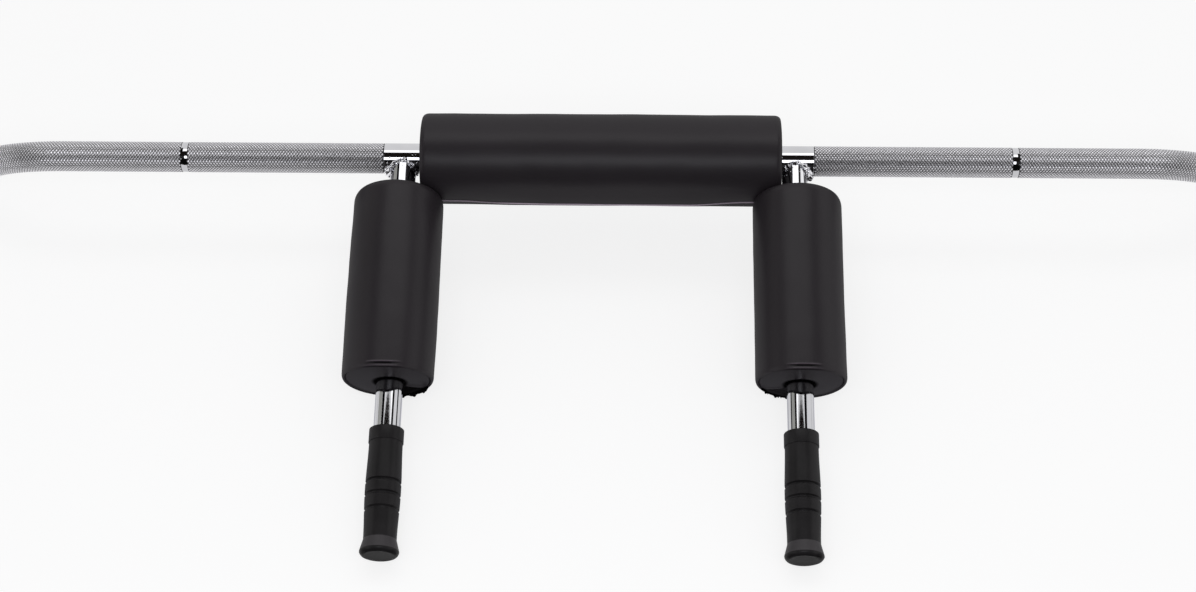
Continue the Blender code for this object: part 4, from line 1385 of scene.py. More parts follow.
@dataclass(frozen=True)
class WrapPad:
    """Wrap-on pad about its frame's Z axis: a slit foam sleeve in a vinyl cover.

    The cover is one sheet. It starts at its tucked edge, runs once round the foam, and goes on as a flap
    over its own start. wrap is the angle along the sheet from the tucked edge, and arc the distance. Where
    the flap overhangs the pad's end it hangs down by hang_drop, and by root_drop at its fold. An arm pad is
    rounded by nip_depth over nip_width where it starts to lie under the neck pad.
    """

    name: str
    frame: Matrix
    length: float
    diameter: float
    core: float
    tucked_edge: float
    turn: int
    flap: FlapEdge
    upper_end: EndShape
    lower_end: EndShape
    sink_start: tuple[float, float]
    sink_ramp: float
    overhang: float = 0.0
    folds: tuple[Fold, ...] = ()
    tuck: float = 0.0015
    tuck_reach: float = 0.027
    tuck_ramp: float = 0.013
    shift: float = 0.0
    pressing_side: int = 0
    seed: int = 0
    cover: float = 0.0012
    strip: float = 0.0008
    strip_width: float = 0.020
    strip_margin: float = 0.006
    strip_end: float = 0.018
    fit_gap: float = 0.0003
    hole_clearance: float = 0.0012
    slit: float = 0.0012
    waist: float = 0.0005
    crumple: float = 0.0
    recess_shade: float = 0.0
    recess_reach: float = 0.036
    # Share of the pale colour painted as highlight on the folds' crests.
    rubbed_share: float = 0.09
    slack: float = 0.0008
    seam_grip: float = 0.0035
    lump_scale: float = 17
    lump_height: float = 0.00045
    dimple_height: float = 0.00015
    level_step: float = 0.003
    wrap_step: float = 0.0016
    fold_zone: float = 0.010
    fold_points: int = 30
    disc_points: int = 18
    corner_points: int = 11
    flap_points: int = 44
    hem_points: int = 7
    hem_turn: float = math.radians(85)
    # Rows at the flap's free edge painted pale, partly its cut edge and partly highlight.
    rubbed_rows: int = 6
    hang_taper: float = 0.45
    hang_drop: float = 0.0014
    root_drop: float = 0.002
    end_zone: float = 0.05
    nip_depth: float = 0.004
    nip_width: float = 0.0065
    overhang_points: int = 12

    @property
    def half(self) -> float:
        """Half of the pad's length."""
        return self.length / 2

    @property
    def radius(self) -> float:
        """Half of the pad's diameter."""
        return self.diameter / 2

    @property
    def hole(self) -> float:
        """Radius of the hole that the tube comes through."""
        return self.core / 2 + self.hole_clearance

    @property
    def layer_depth(self) -> float:
        """How far the tucked layer lies below the flap's outer face."""
        return self.cover + 2 * self.strip + 3 * self.fit_gap

    @property
    def slit_angle(self) -> float:
        """Wrap at which the cover's body ends and the flap starts."""
        return 2 * math.pi - self.slit / self.radius

    def spot(self, wrap: np.ndarray, radius: np.ndarray, level: np.ndarray) -> np.ndarray:
        """Points at these angles along the sheet, in the pad's own frame."""
        return around_axis(radius, self.tucked_edge + self.turn * wrap, level)

    def sunk(self, wrap: np.ndarray, share: np.ndarray) -> np.ndarray:
        """How far the sheet lies below the pad's round form: all the way under the flap.

        Args:
            wrap: Angle along the sheet.
            share: Place along the pad, from -1 to 1.

        Returns:
            Depth below the round form.
        """
        low, high = self.sink_start
        start = low + (high - low) * smooth_step((share + 1) / 2)
        past = wrap * self.radius - start
        return self.layer_depth * (1 - smooth_step(past / self.sink_ramp))

    def tucked_by(self, wrap: np.ndarray) -> np.ndarray:
        """How far the end discs lie inside the pad near the tucked edge, and stand out at the free edge."""
        arc = wrap * self.radius
        inside = self.tuck * (1 - smooth_step((arc - self.tuck_reach) / self.tuck_ramp))
        to_edge = self.slit_angle * self.radius - arc
        return inside - 0.25 * self.tuck * (1 - smooth_step(to_edge / 0.007))

    def side_levels(self) -> np.ndarray:
        """Levels at which the side is drawn, closest together where the folds are."""
        low = self.lower_end.reach - self.half
        high = self.half - self.upper_end.reach
        count = int(self.length / self.level_step)
        if not self.folds:
            return np.linspace(low, high, count)
        fine = high - self.fold_zone
        coarse = np.linspace(low, fine, count)
        return np.concatenate((coarse[:-1], np.linspace(fine, high, self.fold_points)))

    def side_radius(self, level: np.ndarray) -> np.ndarray:
        """Radius of the round form along the straight side, with its slight waist."""
        share = np.clip(level / self.half, -1.0, 1.0)
        return self.radius - self.waist * (1 - share**2)

    def end_section(self, end: EndShape, rim: np.ndarray) -> tuple[np.ndarray, np.ndarray]:
        """One end of the cover from the tube hole to the side.

        Args:
            end: The end's shape.
            rim: Radius of the side at each angle.

        Returns:
            Radius of each point at each angle, and how far each point lies inside the pad's end.
        """
        seam = rim - end.inset
        shares = np.linspace(0, 1, self.disc_points)[:, None]
        first = self.hole + 0.0012
        disc = first + (seam - 0.0006 - first) * shares
        depths = end.seam_depth * shares**2 - end.crown * (1 - shares**2)
        lip = [(0.0, 0.0070), (0.0, 0.0026), (0.0002, 0.0009), (0.0006, 0.0002)]
        radii = [np.full_like(rim, self.hole + out) for out, _ in lip] + list(disc)
        below = [depth - end.crown for _, depth in lip] + list(depths[:, 0])
        radii += [seam, seam + 0.0007]
        below += [end.seam_depth + end.groove, end.seam_depth * 0.4]
        outer = end.inset - 0.0012
        for angle in np.linspace(math.radians(84), 0, self.corner_points):
            radii.append(rim - min(end.depth, outer) * (1 - math.cos(angle)))
            below.append(end.reach * (1 - math.sin(angle)))
        return np.stack(radii), np.array(below)

    def section(self, wrap: np.ndarray) -> tuple[np.ndarray, np.ndarray]:
        """Whole section of the cover at each angle, from the upper hole over the side to the lower one.

        Args:
            wrap: Angles along the sheet.

        Returns:
            Radius and level of each point at each angle.
        """
        side = self.side_levels()[::-1]
        ends = (side[0], side[-1])
        rims = [self.side_radius(place) - self.sunk(wrap, place / self.half) for place in ends]
        upper, upper_depth = self.end_section(self.upper_end, rims[0])
        lower, lower_depth = self.end_section(self.lower_end, rims[1])
        middle = self.side_radius(side)[:, None] - self.sunk(wrap[None, :], side[:, None] / self.half)
        discs = zip(rims, (upper, lower))
        on_discs = [np.clip((rim - 0.0025 - disc) / 0.004, 0.0, 1.0) for rim, disc in discs]
        upper_drop, lower_drop = (self.tucked_by(wrap) * share for share in on_discs)
        crumple = upper_drop * self.crumple * np.sin(wrap * 29 + 1.0) * np.sin(upper * 800)
        above = self.half - upper_depth[:, None] - upper_drop - crumple
        below = lower_depth[:, None] + lower_drop - self.half
        radius = np.concatenate((upper, middle[1:-1], lower[::-1]))
        level = np.concatenate((above, np.tile(side[1:-1, None], len(wrap)), below[::-1]))
        return radius, level

    def body_grid(self) -> np.ndarray:
        """Points of the cover's body, section by section from the tucked edge once round the pad."""
        wrap = np.linspace(0, self.slit_angle, int(math.pi * self.diameter / self.wrap_step))
        radius, level = self.section(wrap)
        return self.spot(wrap[:, None], radius.T, level.T)

    def flap_grid(self) -> np.ndarray:
        """Points of the flap, row by row from the slit, where it joins the body, to its free edge.

        Where the flap overhangs the pad's end, its first points stand past the end and hang in folds.
        """
        radius, level = self.section(np.array([self.slit_angle]))
        skipped = self.disc_points + 6
        radius = radius[skipped:-skipped, 0]
        level = level[skipped:-skipped, 0]
        past = np.zeros_like(level)
        if self.overhang:
            count = self.overhang_points
            past = np.concatenate((np.linspace(1, 1 / count, count), past))
            level = np.concatenate((np.full(count, level[0]), level))
            radius = np.concatenate((np.full(count, radius[0]), radius))
        share = np.clip(level / self.half, -1, 1)
        bend = np.linspace(0, self.hem_turn, self.hem_points + 1)[1:]
        rows = np.concatenate((np.linspace(0, 1, self.flap_points), np.ones(self.hem_points)))[:, None]
        curled = np.concatenate((np.zeros(self.flap_points), bend))[:, None]
        level = level + past * self.overhang * (1 - self.hang_taper * rows)
        along = rows * (self.flap.width_at(share) - self.flap.hem) + self.flap.hem * np.sin(curled)
        curl = self.flap.lift_at(share) * smooth_step((rows - 0.5) / 0.5)
        curl = curl + self.flap.hem * (1 - np.cos(curled))
        start = smooth_step(rows / 0.15)
        folds = 0.0010 * np.sin(rows * 17 + past * 3.0 + 1.0) + 0.0006 * np.sin(rows * 39 - past * 6)
        drape = past * start * (folds - self.hang_drop) - past * (1 - start) * self.root_drop
        pulled = past * start * (0.0007 * np.sin(rows * 13 + 1) - 0.0006)
        return self.spot(self.slit_angle + along / self.radius, radius + curl + drape, level + pulled)

    def closed_shell(self) -> bpy.types.Object:
        """Plain closed form of the filled cover, which the simulation swells."""
        rim = np.array([self.radius - self.slack])
        outline = []
        for end, sign in ((self.upper_end, 1), (self.lower_end, -1)):
            radii, below = self.end_section(end, rim)
            rings = zip(radii[4:, 0], below[4:])
            part = [(float(radius), sign * (self.half - float(depth))) for radius, depth in rings]
            middle = (0.0, sign * (self.half + end.crown))
            outline += [middle] + part if sign > 0 else part[::-1] + [middle]
            if sign > 0:
                outline += [(float(rim[0]), float(level)) for level in self.side_levels()[::-4][1:-1]]
        return lathed(self.name + "_shell", outline, 90, Matrix(), closed=False)

    def swelling(self) -> Swelling | None:
        def held(point: Vector) -> bool:
            """True at the hole and the seam of an end."""
            end = self.upper_end if point.z > 0 else self.lower_end
            across = math.hypot(point.x, point.y)
            at_seam = abs(across - (self.radius - self.slack - end.inset)) < self.seam_grip
            return abs(point.z) > self.half - 0.006 and (across < self.hole + 0.003 or at_seam)

        return Stuffing().run(self.closed_shell(), held)

    def unevenness(self, points: np.ndarray) -> np.ndarray:
        """Slight hand-made unevenness of the filled pad, as a shift away from its axis."""
        flat = points.reshape(-1, 3)
        result = flat.copy()
        for index, point in enumerate(flat):
            spot = Vector(point) * self.lump_scale + Vector((self.seed * 3.7, 0, 0))
            shift = self.lump_height * noise.noise(spot) + self.dimple_height * noise.noise(spot * 3.1)
            radius = math.hypot(point[0], point[1])
            if radius > self.hole + 0.004:
                result[index, :2] *= 1 + shift / radius
        return result.reshape(points.shape)

    def fold_heights(self, points: np.ndarray) -> np.ndarray:
        """Height at each point of the folds across the side, which faces +Y, just above the upper rim."""
        radius = np.hypot(points[..., 0], points[..., 1])
        angle = np.arctan2(points[..., 1], points[..., 0]) - math.pi / 2
        angle = np.arctan2(np.sin(angle), np.cos(angle))
        on_side = smooth_step((radius - self.radius + 0.004) / 0.001)
        total = np.zeros_like(radius)
        for fold in self.folds:
            total += fold.height_at(self.half, angle, points[..., 2]) * on_side
        return total

    def folded(self, points: np.ndarray) -> np.ndarray:
        """Points with the folds raised."""
        result = points.copy()
        radius = np.hypot(points[..., 0], points[..., 1])
        result[..., :2] *= (1 + self.fold_heights(points) / np.maximum(radius, 0.001))[..., None]
        return result

    def marks(self, body: np.ndarray, flap: np.ndarray) -> dict[str, np.ndarray]:
        """Where shade is painted dark into the vinyl, and where it is painted pale: highlight, and the
        hem's pale cut edge.

        Args:
            body: Grid of the cover's body.
            flap: Grid of the flap.

        Returns:
            Amount of each at every point, body first.
        """
        arc = np.linspace(0, self.slit_angle, body.shape[0])[:, None] * self.radius
        edge = self.flap.width_at(np.clip(body[..., 2] / self.half, -1, 1)) - self.slit
        past = arc - edge
        # Painted shadow of the flap's free edge on the tucked layer beside it.
        beside = smooth_step((past + 0.003) / 0.001) * (1 - smooth_step((past - 0.004) / 0.003))
        heights = self.fold_heights(body) / 0.0008
        # Painted shade in the folds' grooves, and in the recesses of the upper end.
        crease = np.maximum(beside, np.clip(-heights, 0, 1))
        if self.recess_shade:
            crease = np.maximum(crease, self.recess(body, arc))
        # Painted highlight on the folds' crests.
        rubbed = np.clip(heights, 0, 1) * self.rubbed_share
        # Painted shade on the flap where it overhangs the pad's end.
        past_end = smooth_step((flap[..., 2] - self.half + self.upper_end.reach) / 0.001)
        to_end = np.abs(flap[-self.rubbed_rows :, :, 2]) / self.half
        # The hem: partly its pale cut edge, partly painted highlight that fades towards the pad's ends.
        hem = np.zeros(flap.shape[:2])
        hem[-self.rubbed_rows :] = 0.55 - 0.27 * smooth_step((to_end - 0.45) / 0.2)
        return {
            "crease": np.concatenate((crease.ravel(), past_end.ravel() * (self.overhang > 0))),
            "rubbed": np.concatenate((rubbed.ravel(), hem.ravel() * (self.flap.hem > 0))),
        }

    def recess(self, body: np.ndarray, arc: np.ndarray) -> np.ndarray:
        """Where the upper end lies in shadow: round the tube, and behind the flap where it is tucked in.

        Args:
            body: Grid of the cover's body.
            arc: Distance of each of its rows from the tucked edge.

        Returns:
            Amount of shadow at every point.
        """
        radius = np.hypot(body[..., 0], body[..., 1])
        on_end = smooth_step((body[..., 2] - self.half + self.tuck + 0.006) / 0.001)
        behind = self.recess_shade * (1 - smooth_step((arc - self.recess_reach) / 0.006))
        round_tube = 1 - smooth_step((radius - self.hole - 0.0016) / 0.002)
        return on_end * np.maximum(behind, round_tube)

    def settled(self, points: np.ndarray) -> np.ndarray:
        """Points set off sideways from the tube, cut at a slant, and pressed in by the neck pad."""
        result = points.copy()
        radius = np.hypot(points[..., 0], points[..., 1])
        held = 0.003
        outside = (radius - self.hole - held) / (self.radius - self.hole - 2 * held)
        result[..., 0] += self.shift * smooth_step(outside)
        below = (1 - points[..., 1] / self.radius) / 2
        near_end = smooth_step((points[..., 2] - self.half + self.end_zone) / self.end_zone)
        result[..., 2] += (self.upper_end.brow * (1 - below) ** 3 - self.upper_end.slant * below) * near_end
        if self.pressing_side:
            under = self.pressing_side * result[..., 0] - NECK_REACH
            rounding = self.nip_depth * (1 - smooth_step(under / self.nip_width)) ** 2
            reach = np.where(under > 0, NECK_FILLED_RADIUS - rounding, 0.0)
            clear = np.sqrt(np.clip(reach**2 - result[..., 1] ** 2, 0, None)) + self.fit_gap
            floor = clear - self.half - ARM_PAD_START
            low_end = points[..., 2] < 0.02 - self.half
            result[..., 2] = np.where(low_end, np.maximum(result[..., 2], floor), result[..., 2])
        return result

    def build_cover(self) -> None:
        """The cover with its flap, swollen, folded and given its thickness."""
        swelling = self.swelling()
        grids = []
        plain = (self.body_grid(), self.flap_grid())
        for grid in plain:
            shaped = self.folded(self.unevenness(grid))
            grids.append(self.settled(swelling.moved(shaped) if swelling else shaped))
        body, flap = grids
        points = np.concatenate([moved(grid, self.frame).reshape(-1, 3) for grid in grids])
        faces = grid_faces(*body.shape[:2])
        start = body.shape[0] * body.shape[1]
        faces += [tuple(start + number for number in face) for face in grid_faces(*flap.shape[:2])]
        if self.turn > 0:
            faces = [face[::-1] for face in faces]
        cover = add_piece(self.name + "_wrap", points, faces, sharp=60)
        for name, amounts in self.marks(*plain).items():
            cover.data.attributes.new(name, "FLOAT", "POINT").data.foreach_set("value", amounts)
        clean(cover, outward=False)
        self._point_outward(cover)
        thicken(cover, self.cover)
        nodes = [f"{self.name}_{part}" for part in ("cover", "foam", "hook_strip", "loop_strip")]
        ride_and_dress(cover, Body.BAR, VINYL, *nodes)

    def _point_outward(self, cover: bpy.types.Object) -> None:
        """Flip the cover's faces if they point at the pad's axis."""
        inverse = self.frame.inverted()
        middle = cover.data.polygons[len(cover.data.polygons) // 3]
        centre = inverse @ middle.center
        normal = inverse.to_3x3() @ middle.normal
        if normal.x * centre.x + normal.y * centre.y < 0:
            cover.data.flip_normals()

    def build_foam(self) -> None:
        """Foam sleeve that shows in the slit and round the tube."""
        inset = self.cover + self.fit_gap
        columns = 72
        wrap = np.linspace(0, self.slit_angle, columns)
        shrink = np.maximum(self.tucked_by(wrap), 0.0) + 0.0005
        bore = self.core / 2 + self.fit_gap
        upper = self.half - self.upper_end.seam_depth - self.upper_end.groove - inset
        lower = self.lower_end.seam_depth + self.lower_end.groove + inset - self.half
        rows = []
        for level, way in ((upper, 1), (lower, -1)):
            rim = self.radius - self.sunk(wrap, level / self.half) - inset - 0.0012
            part = [
                (np.full_like(rim, bore), level - way * shrink),
                (rim - 0.006, level - way * shrink),
                (rim - 0.003, level - way * (shrink + 0.002)),
                (rim, level - way * (shrink + 0.008)),
            ]
            rows += part if way > 0 else part[::-1]
        radius = np.stack([radii for radii, _ in rows])
        height = np.stack([np.broadcast_to(levels, wrap.shape) for _, levels in rows])
        points = self.settled(self.spot(wrap[:, None], radius.T, height.T))
        count = len(rows)
        faces = grid_faces(columns, count, closed_columns=True)
        faces += [tuple(range(count)), tuple(range((columns - 1) * count, columns * count))]
        foam = clean(add_piece(self.name + "_core_foam", moved(points, self.frame), faces))
        ride_and_dress(foam, Body.BAR, FOAM, self.name + "_foam")

    def build_strips(self) -> None:
        """Hook strip under the flap and loop strip on the tucked layer."""
        hook = self.cover + self.fit_gap
        edges = np.linspace(self.strip_margin, self.strip_margin + self.strip_width, 14)
        end = self.half - self.strip_end
        levels = np.linspace(-end, end, 60)
        for kind, depth in (("hook", hook), ("loop", hook + self.strip + self.fit_gap)):
            points = self.spot((edges / self.radius)[:, None], self.side_radius(levels) - depth, levels)
            faces = grid_faces(*points.shape[:2])
            strip = add_piece(f"{self.name}_{kind}_tape", moved(self.settled(points), self.frame), faces)
            self._point_outward(strip)
            thicken(strip, self.strip)
            ride_and_dress(strip, Body.BAR, TAPE, f"{self.name}_{kind}_strip")

    def build(self) -> None:
        """The cover, the foam and the closure strips."""
        self.build_cover()
        self.build_foam()
        self.build_strips()


@dataclass(frozen=True)
class SleeveEnd:
    """Loading sleeve of one side, with what it turns on and what keeps it on the shaft."""

    place: BarPlace
    side: Side
    length: float = 0.390
    radius: float = 0.025
    bore: float = 0.018
    flange_radius: float = 0.039
    flange_width: float = 0.020
    edge: float = 0.0015
    recess_radius: float = 0.021
    recess_depth: float = 0.024
    ring_radius: float = 0.0225
    ring_width: float = 0.012
    ring_face: float = -0.0036
    shaft_radius: float = 0.015
    fit_gap: float = 0.0003
    washer_face: float = 0.3696
    washer_radius: float = 0.019
    washer_thickness: float = 0.004
    bolt_radius: float = 0.006
    head_across_flats: float = 0.019
    head_height: float = 0.0075
    head_dish: float = 0.0003
    shank: float = 0.025

    def build_sleeve(self) -> None:
        """Sleeve with its flange, bored through, with a recess for the end bolt."""
        floor = self.length - self.recess_depth
        outline = [
            (self.recess_radius, self.length),
            (self.radius, self.length),
            (self.radius, self.flange_width),
            (self.flange_radius, self.flange_width),
            (self.flange_radius, 0.0),
            (self.bore, 0.0),
            (self.bore, floor),
            (self.recess_radius, floor),
        ]
        name = self.side.word + "_sleeve"
        smooth = rounded(outline, self.edge, steps=4)
        sleeve = lathed(name + "_skin", smooth, 128, self.place.sleeve(self.side), closed=True)
        body = Body.LEFT_SLEEVE if self.side is Side.LEFT else Body.RIGHT_SLEEVE
        ride_and_dress(sleeve, body, POLISHED_CHROME, name)

    def build_ring(
        self, name: str, outer: float, inner: float, low: float, high: float, finish: Finish
    ) -> None:
        """Ring with rounded edges that stands for the CAD node of this name."""
        outline = rounded([(outer, high), (outer, low), (inner, low), (inner, high)], 0.0008)
        piece = self.side.word + "_" + name
        ring = lathed(piece + "_skin", outline, 96, self.place.sleeve(self.side), closed=True)
        ride_and_dress(ring, Body.BAR, finish, piece)

    def build_bolt(self) -> None:
        """Hexagon bolt with a chamfered head and its shank in the washer."""
        apothem = self.head_across_flats / 2
        count = 72
        angles = np.arange(count) * 2 * math.pi / count
        away = np.abs((angles + math.pi / 6) % (math.pi / 3) - math.pi / 6)
        hexagon = apothem / np.cos(np.abs(math.pi / 6 - away))
        floor = self.washer_face + self.washer_thickness + self.fit_gap
        top = floor + self.head_height
        face = apothem * 0.93
        rows = [
            (0.0, top - self.head_dish),
            (face * 0.8, top - self.head_dish),
            (face * 0.86, top),
            (face, top),
            (hexagon, top - (hexagon - face) * math.tan(math.radians(30))),
            (hexagon, floor),
            (self.bolt_radius, floor),
            (self.bolt_radius, floor - self.shank),
            (0.0, floor - self.shank),
        ]
        points = np.stack([around_axis(radius, angles, level) for radius, level in rows])
        faces = grid_faces(len(rows), count, closed_columns=True)
        name = self.side.word + "_end_bolt"
        bolt = add_piece(name + "_skin", moved(points, self.place.sleeve(self.side)), faces, sharp=20)
        ride_and_dress(clean(bolt), Body.BAR, ZINC, name)

    def build(self) -> None:
        """Every piece of this end."""
        self.build_sleeve()
        ring_low = self.ring_face - self.ring_width
        inner = self.shaft_radius + self.fit_gap
        self.build_ring("stop_ring", self.ring_radius, inner, ring_low, self.ring_face, POLISHED_CHROME)
        high = self.washer_face + self.washer_thickness
        inner = self.bolt_radius + self.fit_gap
        self.build_ring("end_washer", self.washer_radius, inner, self.washer_face, high, ZINC)
        self.build_bolt()
        for which in ("inner", "outer"):
            dress_node(f"{self.side.word}_{which}_bushing", BRONZE)


def bare_tree(owner: bpy.types.World | bpy.types.Material) -> ShaderTree:
    """Emptied node tree of a world or a material."""
    owner.use_nodes = True
    owner.node_tree.nodes.clear()
    return ShaderTree(owner.node_tree)


@dataclass(frozen=True)
class Board:
    """Flat thing that stands in the studio, facing a point."""

    name: str
    centre: Point
    aim: Point
    width: float
    height: float

    def place(self) -> Matrix:
        """Frame at the centre whose -Z points at the aim."""
        way = Vector(self.aim) - Vector(self.centre)
        return Matrix.Translation(self.centre) @ way.to_track_quat("-Z", "Y").to_matrix().to_4x4()


@dataclass(frozen=True)
class Panel(Board):
    """Panel that shows only in reflections."""

    tone: Colour


@dataclass(frozen=True)
class Softbox(Board):
    """Area lamp with the brightness that its face shows in a mirror."""

    brightness: float
    tint: Colour = (1.0, 1.0, 1.0)


@dataclass(frozen=True)
class Studio:
    """Pale floor, white surroundings, softboxes, panels for the chrome to reflect, and the camera."""

    place: BarPlace
    focal_pixels: float = 2200.0
    frame_width: float = 1196.0
    middle_right: float = 0.0008
    middle_up: float = 0.1331
    middle_depth: float = 2.1527
    roll: float = math.radians(-0.48)
    yaw: float = math.radians(1.2)
    lean: float = math.radians(26.0)
    surroundings: float = 0.48
    floor_width: float = 28.0
    floor_colour: Colour = (0.55, 0.55, 0.55)
    floor_shade: Colour = (0.30, 0.30, 0.30)
    floor_glow: float = 0.76

    @property
    def middle(self) -> Point:
        """The shaft's middle."""
        return 0.0, self.place.depth, self.place.height

    def softboxes(self) -> list[Softbox]:
        """Overhead strip, a box round the camera, and one beyond the right end."""
        middle = self.middle
        _, y, z = middle
        return [
            Softbox("overhead", (0.0, y + 0.36, z + 1.5), middle, 1.8, 0.50, 1.0),
            Softbox("camera_side", (0.0, y - 1.43, z + 1.56), middle, 1.15, 0.68, 3.4, (0.94, 0.95, 1.0)),
            Softbox("right", (1.55, y + 0.72, z + 0.86), middle, 0.22, 1.1, 0.42),
        ]

    def panels(self) -> list[Panel]:
        """Pale panels under the arms, dark ones round the softboxes, and a grey one beyond the left end."""
        middle = self.middle
        _, y, z = middle
        arm = self.place.arm_spacing / 2
        pale = (0.60, 0.60, 0.64)
        grey = (0.45, 0.45, 0.42)
        dark = (0.03, 0.03, 0.03)
        brown = (0.012, 0.010, 0.009)
        black = (0.004, 0.004, 0.004)
        panels = []
        for side in Side:
            centre = (side.value * arm, -0.115, 0.002)
            above = (*centre[:2], 1.0)
            panels.append(Panel(side.word + "_underside", centre, above, 0.16, 0.16, pale))
        panels += [
            Panel("front_table", (0.0, y - 1.405, 0.004), (0.0, y - 1.405, 2.0), 4.4, 2.0, black),
            Panel("front_wall", (0.0, y - 2.45, 0.88), (0.0, y, 0.88), 4.4, 2.16, black),
            Panel("lamp_wall", (0.0, y - 1.58, z + 1.72), middle, 4.4, 0.92, dark),
            Panel("ceiling", (0.0, y - 0.53, z + 1.85), (0.0, y - 0.53, 0.0), 4.4, 1.28, brown),
        ]
        for side in reversed(Side):
            centre = (side.value * 1.40, y + 0.55, z + 1.52)
            below = (*centre[:2], 0.0)
            panels.append(Panel(side.word + "_ceiling", centre, below, 0.85, 1.1, black))
        left = (-1.75, y + 0.72, z + 0.86)
        return panels + [Panel("left_side", left, (0.0, y, z + 0.5), 0.9, 1.2, grey)]

    @staticmethod
    def seen_directly(tree: NodeTree) -> Socket:
        """1 for what the camera, a mirror or glass sees, and 0 for spread light."""
        path = tree.node("ShaderNodeLightPath")
        names = ("Is Camera Ray", "Is Glossy Ray", "Is Transmission Ray")
        camera, glossy, through = (Socket(tree, path.outputs[name]) for name in names)
        return camera.largest(glossy).largest(through)

    def build_surroundings(self) -> None:
        """White world as the camera and the chrome see it, at a plain level as a light."""
        world = bpy.data.worlds.new("white_room")
        tree = bare_tree(world)
        seen = self.seen_directly(tree)
        colour = (1, 1, 1, 1)
        lit = tree.value("ShaderNodeBackground", None, {"Color": colour, "Strength": self.surroundings})
        white = tree.value("ShaderNodeBackground", None, {"Color": colour, "Strength": 1.0})
        mixed = tree.value("ShaderNodeMixShader", None, {0: seen, 1: lit, 2: white})
        tree.node("ShaderNodeOutputWorld", None, {"Surface": mixed})
        bpy.context.scene.world = world

    def build_floor(self) -> None:
        """Pale floor that keeps a soft shadow."""
        floor = add_board("studio_floor", self.floor_width, self.floor_width, Matrix())
        material = bpy.data.materials.new("pale_floor")
        tree = bare_tree(material)
        seen = self.seen_directly(tree)
        spread = tree.value("ShaderNodeBsdfDiffuse", None, {"Color": (*self.floor_colour, 1)})
        shadowed = tree.value("ShaderNodeBsdfDiffuse", None, {"Color": (*self.floor_shade, 1)})
        glow = tree.value("ShaderNodeEmission", None, {"Color": (1, 1, 1, 1), "Strength": self.floor_glow})
        white = tree.value("ShaderNodeAddShader", None, {0: shadowed, 1: glow})
        mixed = tree.value("ShaderNodeMixShader", None, {0: seen, 1: spread, 2: white})
        tree.node("ShaderNodeOutputMaterial", None, {"Surface": mixed})
        floor.data.materials.append(material)

    def build_panel(self, panel: Panel) -> None:
        """One panel, seen in reflections alone."""
        board = add_board(panel.name + "_panel", panel.width, panel.height, panel.place())
        material = bpy.data.materials.new(panel.name + "_cloth")
        tree = bare_tree(material)
        glow = tree.value("ShaderNodeEmission", None, {"Color": (*panel.tone, 1), "Strength": 1.0})
        tree.node("ShaderNodeOutputMaterial", None, {"Surface": glow})
        board.data.materials.append(material)
        for ray in ("camera", "diffuse", "shadow", "transmission"):
            setattr(board, "visible_" + ray, False)

    def build_softbox(self, box: Softbox) -> None:
        """One lamp whose face shows in the chrome but not to the camera."""
        lamp = bpy.data.lights.new(box.name + "_softbox", "AREA")
        lamp.shape = "RECTANGLE"
        lamp.size = box.width
        lamp.size_y = box.height
        lamp.energy = box.brightness * math.pi * box.width * box.height
        lamp.color = box.tint
        holder = bpy.data.objects.new(box.name + "_softbox", lamp)
        holder.matrix_world = box.place()
        holder.visible_camera = False
        bpy.context.scene.collection.objects.link(holder)

    def build_camera(self) -> None:
        """Camera fitted to the photograph: above the front of the bar, looking down at it."""
        along = Vector((1.0, math.sin(self.roll), math.sin(self.yaw))).normalized()
        arm = Vector((0.0, -math.cos(self.lean), math.sin(self.lean)))
        arm = (arm - along * arm.dot(along)).normalized()
        back = -arm
        seen = Matrix((along, back, along.cross(back))).transposed()
        turn = self.place.bar().to_3x3() @ seen.transposed()
        middle = Vector((self.middle_right, self.middle_up, -self.middle_depth))
        data = bpy.data.cameras.new("photo_camera")
        data.sensor_width = 36.0
        data.lens = self.focal_pixels / self.frame_width * data.sensor_width
        data.clip_end = 60.0
        camera = bpy.data.objects.new("photo_camera", data)
        place = turn.to_4x4()
        place.translation = self.place.bar().translation - turn @ middle
        camera.matrix_world = place
        bpy.context.scene.collection.objects.link(camera)
        bpy.context.scene.camera = camera

    def build(self) -> None:
        """Camera, surroundings, floor, panels and lamps."""
        self.build_camera()
        self.build_surroundings()
        self.build_floor()
        for panel in self.panels():
            self.build_panel(panel)
        for box in self.softboxes():
            self.build_softbox(box)
        bpy.context.scene.view_settings.view_transform = "Standard"


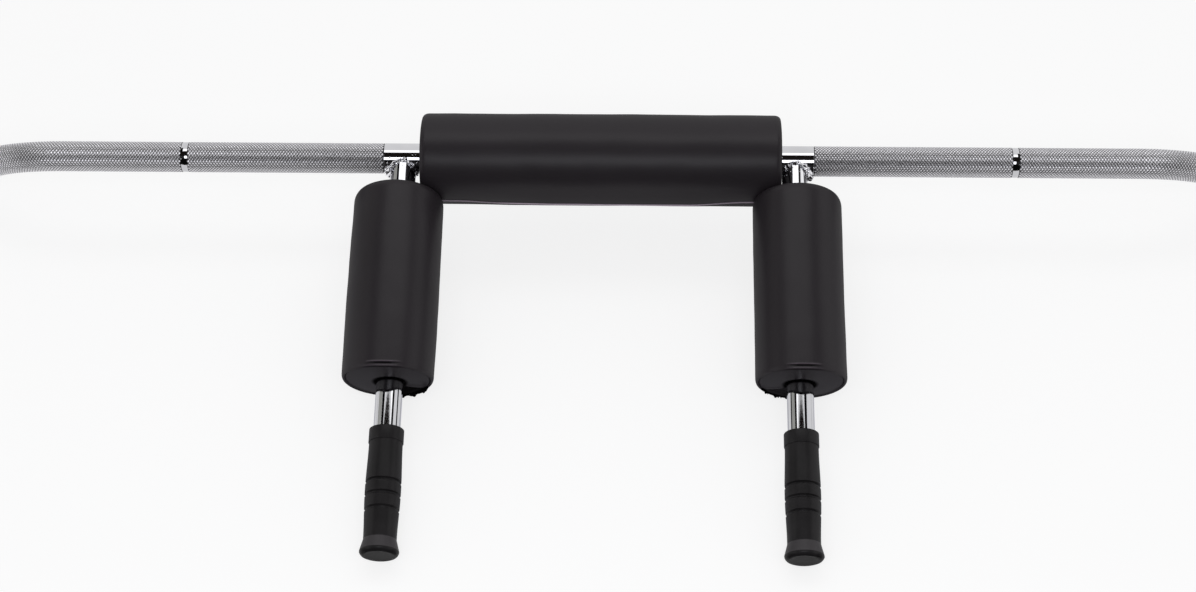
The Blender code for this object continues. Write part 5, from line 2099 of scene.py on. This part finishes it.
def make_neck_pad(place: BarPlace) -> WrapPad:
    """The pad on the shaft, a little to the right of its middle."""
    return WrapPad(
        name="neck_pad",
        frame=place.neck() @ Matrix.Translation((0, 0, 0.0024)),
        length=0.3485,
        diameter=2 * NECK_RADIUS,
        core=0.030,
        tucked_edge=-math.radians(135),
        turn=1,
        flap=FlapEdge(
            width=0.0418,
            trims=((0.0026, -0.55, -0.78), (0.0063, 0.50, 0.80)),
            wave=0.0006,
            lifts=((0.0015, -0.6, -0.2), (-0.0008, 0.5, 0.85)),
            hem=0.0010,
        ),
        waist=-0.0003,
        upper_end=NECK_END,
        lower_end=NECK_END,
        sink_start=(0.046, 0.036),
        sink_ramp=0.018,
    )


def make_arm_pad(place: BarPlace, side: Side) -> WrapPad:
    """The pad on one arm. Each hangs and is worn a little differently."""
    if side is Side.LEFT:
        cut_back = 0.0011
        own = {"diameter": 0.0860, "overhang": 0.0042, "tuck": 0.0050}
        own |= {"recess_shade": 0.9, "waist": -0.0006, "shift": -0.0022}
    else:
        cut_back = 0.0022
        own = {"diameter": 0.0855, "overhang": 0.0018, "tuck": 0.0034}
        own |= {"recess_shade": 0.6, "waist": 0.0002, "shift": 0.0012}
    inner_side = 0.0 if side is Side.LEFT else math.pi
    end = ARM_PAD_END - cut_back
    return WrapPad(
        name=side.word + "_arm_pad",
        frame=place.arm(side) @ Matrix.Translation((0, 0, (ARM_PAD_START + end) / 2)),
        length=end - ARM_PAD_START,
        core=0.025,
        tucked_edge=inner_side + side.value * math.radians(28),
        turn=side.value,
        flap=FlapEdge(width=0.040, wave=0.0015, lifts=((0.0008, 0.0, 1.0),)),
        upper_end=ARM_PAD_FAR_END,
        lower_end=ARM_PAD_NEAR_END,
        sink_start=(0.038, 0.038),
        sink_ramp=0.026,
        folds=ARM_PAD_FOLDS,
        crumple=0.20,
        pressing_side=-side.value,
        seed=side.value,
        **own,
    )


def main() -> None:
    """Build every sub-assembly and the studio round them."""
    logging.basicConfig(level=logging.INFO, format="%(message)s")
    place = BarPlace()
    Studio(place).build()
    Shaft(place).build()
    bead_tree = BeadTree()
    spatter_tree = SpatterTree()
    for side in Side:
        Arm(place, side, bead_tree, spatter_tree).build()
        SleeveEnd(place, side).build()
    make_neck_pad(place).build()
    for side in Side:
        make_arm_pad(place, side).build()


if __name__ == "__main__":
    main()
